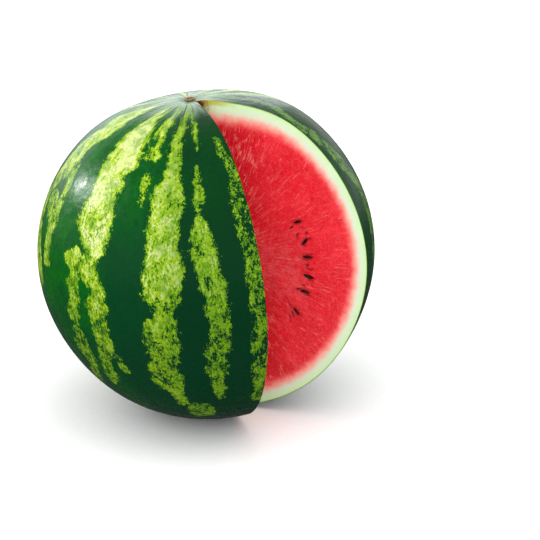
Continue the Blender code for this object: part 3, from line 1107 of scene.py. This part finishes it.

# %% [markdown]
# ## The greens
# The dark green is never even: it clouds from leaf green to deep green and is brushed with lighter and darker
# strokes along the fruit. Painted shade is laid over it: it turns bluish and darker towards the wedge, and is
# darkest beside the cut and below, where the fruit turns away from the light. The light green is palest deep
# inside a stripe, duller in patches, duller and darker below and beside the cut as painted shade, and a fine
# dark net of specks shows through it.
# Each of these is a thin layer laid over the last, as a glaze is.

# %% Dark and light green
# Painted shade: the greens darken on the lower side, where the fruit turns away from the light.
LOWER_SHADE_DEG = (62.0, 112.0)
# Painted shade beside the cut on both sides, where the fruit turns away from the light.
LEFT_OF_CUT_SHADE_DEG = (114.0, 132.0)
RIGHT_OF_CUT_SHADE_DEG = (-104.0, -126.0)
# Painted shade: the greens turn bluish and darker from here towards the wedge.
BLUISH_SHADE_FROM_DEG = (94.0, 106.0)
LEAF_GREEN, DEEP_GREEN = srgb(1, 86, 4), srgb(0, 70, 18)
# The three painted-shade greens: bluish towards the wedge, darkest beside the cut, and lower down.
BLUE_SHADE_GREEN, CUT_SIDE_SHADE_GREEN, LOWER_SHADE_GREEN = srgb(2, 52, 25), srgb(0, 42, 17), srgb(4, 42, 24)
LIGHT_TONES = (
    (0.10, srgb(16, 72, 8)),
    (0.19, srgb(54, 104, 6)),
    (0.33, srgb(98, 142, 10)),
    (0.52, srgb(152, 180, 18)),
    (0.76, srgb(168, 192, 64)),
    (1.00, srgb(196, 206, 134)),
)
TONES_FROM_TO_MM = (-1.0, 4.2)


def dark_green(net, place, steady, down, turn, lower_shade, shade_beside_cut):
    """Clouds of two greens, then light and dark streaks and brush strokes, then painted shade: the bluish
    green towards the wedge, the darker green beside the cut and the lower green."""
    cloud = net.noise(place, 0.030, 3.0, 0.55)
    streak = net.noise(net.scaled(steady, (1.0, 1.0, 0.25)), 0.006, 3.0, 0.6)
    brushed = net.noise(net.scaled(steady, (1.0, 1.0, 0.45)), 0.0021, 3.0, 0.65)
    # Painted shade: bluer and darker towards the wedge, most of all lower down.
    bluish_shade = net.times(net.between(turn, *BLUISH_SHADE_FROM_DEG), net.between(down, 44.0, 72.0, 0.15, 0.85))
    layers = (
        (net.between(streak, 0.50, 0.76, 0.0, 0.55), srgb(6, 98, 12)),
        (net.between(brushed, 0.50, 0.72, 0.0, 0.42), srgb(10, 100, 22)),
        (net.between(brushed, 0.46, 0.28, 0.0, 0.60), srgb(0, 36, 10)),
        (net.between(streak, 0.42, 0.20, 0.0, 0.55), srgb(0, 38, 18)),
        # Painted shade: bluish towards the wedge, darkest beside the cut, and darker on the lower side.
        (bluish_shade, BLUE_SHADE_GREEN),
        (net.times(shade_beside_cut, 0.80), CUT_SIDE_SHADE_GREEN),
        (net.times(lower_shade, 0.65), LOWER_SHADE_GREEN),
    )
    return net.layered(net.mix(net.between(cloud, 0.35, 0.65), DEEP_GREEN, LEAF_GREEN), layers)


def light_green(net, place, drawn_out, torn, down, lower_shade, shade_beside_cut, shade_right_of_cut):
    """The tone for the torn depth, then duller patches, then painted shade below and beside the cut, then
    dark specks, fewer near the stem and, as painted shade, darker below.
    """
    speck = net.between(net.noise(drawn_out, 0.0017, 2.0, 0.65), 0.46, 0.60)
    speck_patches = net.between(net.noise(place, 0.016), 0.36, 0.64, 0.45, 1.0)
    speck_patches = net.times(speck_patches, net.between(down, 30.0, 68.0, 0.30, 1.0))
    layers = (
        (net.between(net.noise(drawn_out, 0.0085, 3.0, 0.6), 0.46, 0.66, 0.0, 0.62), srgb(84, 134, 30)),
        # Painted shade: duller, darker greens on the lower side and on both sides of the cut, and darker
        # specks below.
        (net.times(lower_shade, 0.75), srgb(96, 128, 12)),
        (net.times(shade_beside_cut, 0.50), srgb(76, 118, 16)),
        (net.times(shade_right_of_cut, 0.60), srgb(70, 108, 64)),
        (net.times(speck, speck_patches), net.mix(lower_shade, srgb(72, 118, 10), srgb(36, 82, 12))),
    )
    return net.layered(net.ramp(net.between_straight(torn, *TONES_FROM_TO_MM), LIGHT_TONES), layers)


print("tones of light green:", len(LIGHT_TONES), " darkest green:", np.round(CUT_SIDE_SHADE_GREEN, 3))

# %% [markdown]
# ## The stem end
# Round the stem the skin wears a pale waxy bloom, and the dark bands shrink to thin lines in it, like spokes.
# The pale layer is partly that real bloom and partly a painted sheen of reflected light on the shoulder. It
# fades with the way down. Its rim would be a perfect circle, so the fading starts earlier or later with the
# direction, and the spokes' spacing, length and strength change with it too.

# %% Bloom with painted sheen, and spokes
STRIPE_EDGE_MM = (-0.7, 0.3)
BLOOM_AND_SHEEN_FADES_DEG, SPOKES_FADE_DEG = (21.0, 6.0), (30.0, 10.0)
RAGGED_DEG = 22.0
BLOOM_AND_SHEEN_ON_DARK, BLOOM_AND_SHEEN_ON_LIGHT = 0.76, 0.44
SPOKE_SPACING_DEG = 12.0
SPOKE_WANDER = 3.4
SPOKE_HALF_WIDTH_MM = (0.28, 0.80)


def spokes(net, down, turn, per_degree, wander):
    """1 on the thin dark lines that run out from the stem, 0 between them. A line is where the fraction of
    turn / spacing + wander is a half. They widen a little on their way."""
    along = net.plus_times(net.calc("DIVIDE", turn, SPOKE_SPACING_DEG), wander, SPOKE_WANDER)
    from_line = net.calc("ABSOLUTE", net.less(net.calc("FRACT", along), 0.5))
    from_line = net.times(net.times(from_line, SPOKE_SPACING_DEG), per_degree)
    half_width = net.between(down, 3.0, 20.0, *SPOKE_HALF_WIDTH_MM)
    return net.between(net.calc("DIVIDE", from_line, half_width), 1.5, 0.5)


def stem_end(net, steady, torn, down, turn, per_degree):
    """(the share of the pale bloom, partly real bloom and partly painted sheen, and the spokes' share). Both
    fade over a way down that is ragged with the direction.
    """
    level = net.scaled(steady, (1.0, 1.0, 0.0))
    outward = net.node("ShaderNodeVectorMath", {0: level}, operation="NORMALIZE")
    by_direction = net.noise(outward, 0.30)
    ragged = net.plus_times(down, net.less(by_direction, 0.5), RAGGED_DEG)
    on_stripe = net.between(torn, *STRIPE_EDGE_MM, BLOOM_AND_SHEEN_ON_DARK, BLOOM_AND_SHEEN_ON_LIGHT)
    bloom_and_sheen = net.times(net.between(ragged, *BLOOM_AND_SHEEN_FADES_DEG), on_stripe)
    line = spokes(net, down, turn, per_degree, net.noise(steady, 0.05, 1.0))
    line = net.times(line, net.between(ragged, *SPOKES_FADE_DEG, 0.0, 0.95))
    return bloom_and_sheen, net.times(line, net.between(by_direction, 0.40, 0.55, 0.60, 1.0))


print("spokes round the stem: about %d" % (360.0 / SPOKE_SPACING_DEG))

# %% [markdown]
# ## The skin's finish
# The skin is smooth and waxy, with a slow swell and fine pores, and the spokes lie in shallow grooves. A
# strong gloss would lay a grey haze over the deep greens, so its mirror share is kept low. Everything worked
# out above comes together here: light green where the torn depth is above 0, dark green where it isn't.

# %% The skin's network
SKIN_GLOSS = 0.06


def skin_finish():
    """Dark green with its painted shade, the stripes' light green over it, then the bloom with its painted
    sheen, and the spokes.
    """
    net = Network("melon_skin")
    place = net.place()
    steady = fruit_place(net, place)
    drawn_out = net.scaled(steady, DRAWN_OUT)
    down, turn, per_degree = angles(net, steady)
    # Painted shade: masks for the lower side and for both sides next to the cut.
    lower_shade = net.between(down, *LOWER_SHADE_DEG)
    shade_right_of_cut = net.between(turn, *RIGHT_OF_CUT_SHADE_DEG)
    shade_beside_cut = net.calc("MAXIMUM", net.between(turn, *LEFT_OF_CUT_SHADE_DEG), shade_right_of_cut)
    torn = torn_depth(net, place, steady, drawn_out, down, turn, lower_shade)
    bloom_and_sheen, spoke = stem_end(net, steady, torn, down, turn, per_degree)
    light = light_green(net, place, drawn_out, torn, down, lower_shade, shade_beside_cut, shade_right_of_cut)
    layers = (
        (net.between(torn, *STRIPE_EDGE_MM), light),
        # Pale bloom: partly the skin's real waxy bloom, partly a painted sheen of reflected light.
        (bloom_and_sheen, srgb(150, 172, 148)),
        (spoke, srgb(34, 66, 34)),
    )
    swell = net.relief(net.noise(place, 0.011), 0.0016, 0.35)
    groove = net.relief(spoke, -0.0004, 0.6, swell)
    wax = net.noise(place, 0.010, 3.0, 0.6)
    print("nodes in the skin's network:", len(net.tree.nodes))
    return net.coat({
        "Base Color": net.layered(dark_green(net, place, steady, down, turn, lower_shade, shade_beside_cut), layers),
        "Roughness": net.between(wax, 0.3, 0.7, 0.22, 0.33),
        "Specular IOR Level": SKIN_GLOSS,
        "Normal": net.relief(net.noise(drawn_out, 0.0009), 0.00012, 0.30, groove),
    })


skin_material = skin_finish()

# %% [markdown]
# ## The red flesh
# The flesh is made of small juicy sacs, redder towards the fruit's middle and granular inside the row of
# seeds, with thin pale fibres that run out from the middle. The hollows are wetter, and they are painted
# dark red: partly wet flesh, partly painted shade that falls into them. The mesh carries where each point
# is on its ray, so the fibres can be a noise that is drawn out along the rays.

# %% The flesh's colours
SEED_ROW_RADIUS = SEED_ROW_SHARE * EQUATOR_RADIUS
THREAD_SHORTENED, HATCH_SHORTENED = 0.085, 0.115
THREAD_STRENGTH = 0.50
GRANULAR_RAY = 1.72  # the ray, in radians from the stem, round which the flesh is most granular


def fibre_lines(net, place, ray_angle, far, from_axis):
    """Lines where a noise that is drawn out along the ray passes its middle value: long broken threads all
    over, and a denser hatch in patches near the axis. The stronger of the two counts."""
    arc = net.times(ray_angle, SEED_ROW_RADIUS)
    along_ray = net.joined(arc, net.times(far, THREAD_SHORTENED), 0.0)
    thread = net.between(net.calc("ABSOLUTE", net.swing(along_ray, 0.0040, 2.0, 0.55)), 0.020, 0.004)
    thread = net.times(thread, net.between(net.noise(along_ray, 0.0022, 1.0), 0.50, 0.62))
    hatch_ray = net.joined(arc, net.times(far, HATCH_SHORTENED), 0.4)
    hatch = net.between(net.calc("ABSOLUTE", net.swing(hatch_ray, 0.0026, 2.0, 0.6)), 0.034, 0.006)
    hatch = net.times(hatch, net.between(net.noise(place, 0.007), 0.42, 0.56))
    hatch = net.times(hatch, net.between(from_axis, 0.072, 0.030, 0.10, 0.9))
    return net.calc("MAXIMUM", net.times(thread, THREAD_STRENGTH), hatch)


def granular_part(net, ray_angle, from_axis):
    """1 at mid height between the axis and the row of seeds, fading up, down and past the row."""
    middle = net.between(net.calc("ABSOLUTE", net.less(ray_angle, GRANULAR_RAY)), 0.62, 0.12)
    inside_row = net.times(net.between(from_axis, 0.012, 0.034), net.between(from_axis, 0.086, 0.066))
    return net.times(middle, inside_row)


def flesh_colours(net, place, ray_angle, far, hollow):
    """(the red, fibres, grain, sacs): two reds in clouds, then soft pale parts, the deep red near the axis,
    granular pale parts, sacs, grain and fibres, and last the hollows' dark red, partly wet flesh and partly
    painted shade."""
    from_axis = net.times(far, net.calc("SINE", ray_angle))
    grain = net.noise(place, 0.0011, 2.0, 0.6)
    sac = net.cells(place, 0.0013)
    fibres = fibre_lines(net, place, ray_angle, far, from_axis)
    pale_patches = net.between(net.noise(place, 0.0060, 3.0, 0.65), 0.40, 0.62, 0.15, 0.75)
    layers = (
        (net.between(net.noise(place, 0.0028, 4.0, 0.65), 0.46, 0.72, 0.0, 0.55), srgb(232, 78, 84)),
        (net.times(net.between(from_axis, 0.072, 0.008), 0.72), srgb(184, 6, 32)),
        (net.times(granular_part(net, ray_angle, from_axis), pale_patches), srgb(222, 92, 98)),
        (net.between(sac, 0.15, 0.75, 0.0, 0.28), srgb(150, 6, 20)),
        (net.between(grain, 0.52, 0.74, 0.0, 0.34), srgb(226, 84, 88)),
        (fibres, srgb(238, 126, 118)),
        # The hollows' dark red: partly wet flesh, partly painted shade in the recesses.
        (net.times(hollow, 0.92), srgb(92, 2, 10)),
    )
    cloud = net.noise(place, 0.028, 3.0, 0.55)
    red = net.mix(net.between(cloud, 0.34, 0.66), srgb(218, 18, 38), srgb(234, 38, 54))
    return net.layered(red, layers), fibres, grain, sac


print("a clear flesh red:", np.round(srgb(226, 28, 46), 3))

# %% [markdown]
# ## The rind
# From the skin inwards the knife shows a thin green line, pale green, then creamy white rind and a short pink
# blur before the red. The mesh carries how deep in the rind each point lies, counted in thicknesses of the
# rind, so one run of colours gives all the layers. Noise stirs the measure, or the layers would look turned
# on a lathe. Where the stalk's woody strands enter, the rind is olive, tan and brown.

# %% The rind's colours
RIND_LAYERS = (
    (0.000, srgb(14, 52, 18)),
    (0.008, srgb(60, 110, 40)),
    (0.018, srgb(152, 198, 100)),
    (0.040, srgb(188, 224, 162)),
    (0.110, srgb(194, 224, 182)),
    (0.220, srgb(198, 223, 192)),
    (0.290, srgb(210, 214, 188)),
    (0.350, srgb(222, 190, 172)),
    (0.430, srgb(232, 158, 144)),
    (0.540, srgb(230, 108, 104)),
    (0.660, srgb(222, 66, 72)),
)
RIND_LAYERS_SPAN = 2.0  # rind thicknesses from the first place to 1
RIND_BRUSHED, RIND_LUMPS = 0.24, 0.44
STROKE_SHORTENED = 0.16


def rind_colours(net, place, rind, ray_angle, far):
    """(the layers' colour, the stirred depth, the brush strokes). Stirred depth = depth + strokes + lumps,
    which both grow from nothing at the skin."""
    stroke = net.joined(net.times(ray_angle, EQUATOR_RADIUS), net.times(far, STROKE_SHORTENED), 0.0)
    brushed = net.swing(stroke, 0.0016, 3.0, 0.6)
    lumps = net.swing(place, 0.007)
    inward = net.between(rind, 0.25, 0.85)
    stirred = net.plus_times(rind, net.times(brushed, inward), RIND_BRUSHED)
    stirred = net.plus_times(stirred, net.times(lumps, inward), RIND_LUMPS)
    return net.ramp(net.calc("DIVIDE", stirred, RIND_LAYERS_SPAN), RIND_LAYERS), stirred, brushed


def woody_layers(net, place, rind):
    """Olive along the rim, then tan and brown, each closer to the stem's foot. The distance to it is made
    ragged with a noise that is drawn out downwards."""
    foot = {0: fruit_place(net, place), 1: tuple(stem_foot)}
    distance = net.node("ShaderNodeVectorMath", foot, "Value", operation="DISTANCE")
    woody = net.noise(net.scaled(place, (1.0, 1.0, 0.4)), 0.0022, 3.0, 0.65)
    ragged = net.plus_times(distance, net.less(woody, 0.5), 0.010)
    olive = net.times(net.between(ragged, 0.044, 0.020), net.between(rind, 0.34, 0.12))
    brown = net.mix(net.between(woody, 0.4, 0.6), srgb(72, 34, 6), srgb(134, 84, 20))
    return (
        (net.times(olive, 0.92), srgb(170, 170, 52)),
        (net.between(ragged, 0.0260, 0.0130, 0.0, 0.45), srgb(176, 146, 66)),
        (net.between(ragged, 0.0190, 0.0105), brown),
    )


print("layers in the rind:", len(RIND_LAYERS))

# %% [markdown]
# ## The cut face's finish
# Flesh is wet and lets a little light through, which softens its grain, so the shader gets some subsurface
# scattering, reddest and deepest. Juice lies in the hollows and makes them glossier than the rest.

# %% The cut face's network
def cut_finish():
    """The rind's layers up to its inner side and the red from there on, with the woody layers over both. The
    relief is grain and sacs in the flesh, the fibres, and the knife's strokes."""
    net = Network("melon_flesh_and_rind")
    place = net.place()
    rind, hollow, ray_angle, far = (net.own(label) for label in ("rind", "hollow", "ray", "far"))
    red, fibres, grain, sac = flesh_colours(net, place, ray_angle, far, hollow)
    layers, stirred, brushed = rind_colours(net, place, rind, ray_angle, far)
    colour = net.mix(net.between(stirred, 1.00, 1.50), layers, red)
    height = net.times(net.less(grain, net.times(sac, 0.7)), net.between(stirred, 0.95, 1.30))
    fine = net.relief(net.plus_times(height, fibres, 0.35), 0.00035, 0.55)
    finished = net.coat({
        "Base Color": net.layered(colour, woody_layers(net, place, rind)),
        "Roughness": net.plus_times(net.between(grain, 0.35, 0.65, 0.26, 0.46), hollow, -0.06),
        "Specular IOR Level": 0.36,
        "Subsurface Weight": 0.10,
        "Subsurface Radius": (1.0, 0.35, 0.25),
        "Subsurface Scale": 0.0016,
        "Normal": net.relief(brushed, 0.00010, 0.20, fine),
    })
    print("nodes in the cut face's network:", len(net.tree.nodes))
    return finished


cut_material = cut_finish()

# %% [markdown]
# ## Seed coat and cork
# The seed coat is hard, nearly black and polished, with brown clouding. Cork is the opposite: dry,
# light-eating and full of cracks, darkest in its dished middle and palest on the crumbling ring.

# %% The small finishes
def seed_finish():
    """Two near blacks in clouds, with darker freckles that stand out a little."""
    net = Network("seed_coat")
    place = net.place()
    cloud = net.noise(place, 0.0021, 3.0, 0.6)
    freckle = net.noise(place, 0.0005, 2.0, 0.6)
    colour = net.mix(net.between(cloud, 0.40, 0.66), srgb(16, 7, 6), srgb(44, 18, 12))
    return net.coat({
        "Base Color": net.mix(net.between(freckle, 0.58, 0.70, 0.0, 0.5), colour, srgb(12, 6, 6)),
        "Roughness": net.between(cloud, 0.3, 0.7, 0.20, 0.36),
        "Specular IOR Level": 0.25,
        "Normal": net.relief(freckle, 0.00004, 0.5),
    })


def stem_finish():
    """Dark brown in the dish and lighter on the ring, by the distance from the stem's axis, then pale crumbs
    and dark cracks."""
    net = Network("dry_cork")
    place = net.place()
    from_foot = net.shifted(fruit_place(net, place), tuple(-stem_foot))
    out = net.length(net.scaled(from_foot, (1.0, 1.0, 0.0)))
    crumb = net.noise(place, 0.0008, 4.0, 0.65)
    crack = net.cells(place, 0.0011, "DISTANCE_TO_EDGE")
    colour = net.mix(net.between(out, 0.0018, 0.0034), srgb(58, 34, 20), srgb(132, 96, 64))
    layers = (
        (net.between(crumb, 0.42, 0.66), srgb(186, 156, 122)),
        (net.between(crack, 0.10, 0.01, 0.0, 0.8), srgb(48, 22, 10)),
    )
    height = net.calc("ADD", crumb, net.between(crack, 0.0, 0.15, 0.0, 0.5))
    return net.coat({
        "Base Color": net.layered(colour, layers),
        "Roughness": net.between(crumb, 0.3, 0.7, 0.70, 0.92),
        "Specular IOR Level": 0.25,
        "Normal": net.relief(height, 0.00030, 0.8),
    })


def assign(thing, *materials):
    """Hands a piece its materials, in the order of its polygons' material numbers."""
    for material in materials:
        thing.data.materials.append(material)


seed_material = seed_finish()
assign(melon, skin_material, cut_material)
assign(stem, stem_finish())
for seed in fine_seeds.values():
    assign(seed, seed_material)
print("materials:", [material.name for material in bpy.data.materials])

# %% [markdown]
# ## Each piece stands for its imported solid
# A piece rides on the model's one body and replaces the imported node that it refines.

# %% Tying the pieces to the imported model
def tie(piece, node):
    """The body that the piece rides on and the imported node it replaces."""
    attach(piece, "root")
    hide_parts(node)


tie(melon, "melon_body")
tie(stem, "stem_stub")
for name, seed in fine_seeds.items():
    tie(seed, name)

# %% [markdown]
# ## The floor
# The studio's floor is pale paper, so large that its rim is far away. Mirrored in the skin it would put a
# grey haze over the deep greens, so it is kept out of reflections.

# %% Floor
FLOOR_RADIUS = 14.0
FLOOR_SIDES = 96
FLOOR_DROP = 0.0002


def floor_object():
    """A flat disc just under the fruit: (radius cos a, radius sin a, -drop)."""
    angle = np.linspace(0.0, 2.0 * np.pi, FLOOR_SIDES, endpoint=False)
    x, y = np.cos(angle) * FLOOR_RADIUS, np.sin(angle) * FLOOR_RADIUS
    rim = np.stack((x, y, np.full_like(angle, -FLOOR_DROP)), axis=1)
    mesh = bpy.data.meshes.new("floor")
    mesh.from_pydata(rim.tolist(), [], [list(range(FLOOR_SIDES))])
    made = bpy.data.objects.new("floor", mesh)
    bpy.context.scene.collection.objects.link(made)
    net = Network("pale_floor")
    paper = net.between(net.noise(net.place(), 0.004), 0.3, 0.7)
    assign(made, net.coat({
        "Base Color": net.mix(paper, (0.91, 0.91, 0.91), (0.93, 0.93, 0.93)),
        "Roughness": 0.9,
        "Specular IOR Level": 0.1,
    }))
    made.visible_glossy = False
    return made


floor_object()
print("floor: %.0f m across" % (2.0 * FLOOR_RADIUS))

# %% [markdown]
# ## Light
# One lamp for everything would either haze the skin or leave it dull, so the work is shared out. The sky is
# whitest at the horizon, dimmer overhead and dark well below the horizon. Two very wide suns, kept out of
# reflections, light the fruit and the floor. Four windows do the opposite and only make highlights: a soft
# one and two small ones on the left, and a cool one behind for the sheen on the shoulder.

# %% Sky
centre = Vector((0.0, 0.0, lift))
HORIZON_LIGHT = 1.02
SKY_STEPS = ((0.43, 0.10), (0.475, 1.0), (0.78, 0.84))  # (height from 0 at the bottom to 1 overhead, share)


def sky():
    """A world whose light is the horizon's times a share that changes with z / 2 + 1 / 2."""
    world = bpy.data.worlds.new("studio")
    world.use_nodes = True
    tree = world.node_tree
    where = tree.nodes.new("ShaderNodeTexCoord")
    split = tree.nodes.new("ShaderNodeSeparateXYZ")
    half = tree.nodes.new("ShaderNodeMath")
    half.operation = "MULTIPLY_ADD"
    half.inputs[1].default_value, half.inputs[2].default_value = 0.5, 0.5
    fall = tree.nodes.new("ShaderNodeValToRGB")
    band = fall.color_ramp
    band.elements.new(SKY_STEPS[1][0])
    for element, (height, share) in zip(band.elements, SKY_STEPS):
        element.position = height
        element.color = (share, share, share, 1.0)
    background = tree.nodes["Background"]
    background.inputs["Strength"].default_value = HORIZON_LIGHT
    tree.links.new(where.outputs["Generated"], split.inputs[0])
    tree.links.new(split.outputs[2], half.inputs[0])
    tree.links.new(half.outputs[0], fall.inputs[0])
    tree.links.new(fall.outputs[0], background.inputs["Color"])
    bpy.context.scene.world = world


sky()
print("sky: %.2f at the horizon, %.2f overhead" % (HORIZON_LIGHT, HORIZON_LIGHT * SKY_STEPS[-1][1]))

# %% Suns and windows
def hang(name, data, azimuth_deg, height_deg, distance):
    """Puts a light at this distance from the fruit's middle, turned to look at it. Azimuth counts from +X
    towards +Y."""
    made = bpy.data.objects.new(name, data)
    down = math.pi / 2.0 - math.radians(height_deg)
    away = Vector(ball_direction(down, math.radians(azimuth_deg)).tolist())
    made.location = centre + away * distance
    made.rotation_euler = away.to_track_quat("Z", "Y").to_euler()
    bpy.context.scene.collection.objects.link(made)
    return made


def daylight(name, azimuth_deg, height_deg, strength, spread_deg):
    """A very soft, even light from one side that falls on the whole floor alike."""
    data = bpy.data.lights.new(name, "SUN")
    data.energy = strength
    data.angle = math.radians(spread_deg)
    hang(name, data, azimuth_deg, height_deg, 1.0).visible_glossy = False


def window(name, azimuth_deg, height_deg, distance, size, watts, colour=(1.0, 1.0, 1.0)):
    """A rectangle of light that only makes a highlight."""
    data = bpy.data.lights.new(name, "AREA")
    data.shape = "RECTANGLE"
    data.size, data.size_y = size
    data.energy = watts
    data.color = colour
    hang(name, data, azimuth_deg, height_deg, distance).visible_diffuse = False


daylight("main_daylight", 188.0, 42.0, 2.30, 100.0)
daylight("fill_daylight", 320.0, 70.0, 0.75, 60.0)
window("side_window", 132.0, 30.0, 1.6, (0.80, 0.60), 3.6)
window("small_window_back", 112.0, 21.0, 1.6, (0.10, 0.10), 14.0)
window("small_window_front", 128.0, 28.8, 1.6, (0.12, 0.12), 17.0)
window("rear_window", 66.0, 14.0, 3.0, (3.6, 1.2), 26.0, (0.86, 0.93, 1.0))

# %% [markdown]
# ## Camera
# A long lens from a little above, so that the fruit isn't distorted. It aims to the right of the fruit and a
# little low, which leaves the fruit left of the middle.

# %% Camera
CAMERA_TURN_DEG = -42.5
CAMERA_HEIGHT_DEG = 19.0
CAMERA_DISTANCE = 10.0 * EQUATOR_RADIUS
LENS = 112.0
AIM_RIGHT = 0.0500
AIM_DOWN = 0.0133


def add_camera():
    """It stands at centre + distance * (sin turn cos height, -cos turn cos height, sin height)."""
    turn, height = math.radians(CAMERA_TURN_DEG), math.radians(CAMERA_HEIGHT_DEG)
    back = Vector((math.sin(turn) * math.cos(height), -math.cos(turn) * math.cos(height), math.sin(height)))
    right = Vector((math.cos(turn), math.sin(turn), 0.0))
    up = back.cross(right)
    made = bpy.data.objects.new("camera", bpy.data.cameras.new("camera"))
    made.data.lens = LENS
    made.location = centre + back * CAMERA_DISTANCE
    looking = centre + right * AIM_RIGHT - up * AIM_DOWN - made.location
    made.rotation_euler = looking.to_track_quat("-Z", "Y").to_euler()
    bpy.context.scene.collection.objects.link(made)
    bpy.context.scene.camera = made


add_camera()
bpy.context.scene.view_settings.view_transform = "Standard"
print("camera %.2f m from the fruit, lens %.0f mm" % (CAMERA_DISTANCE, LENS))
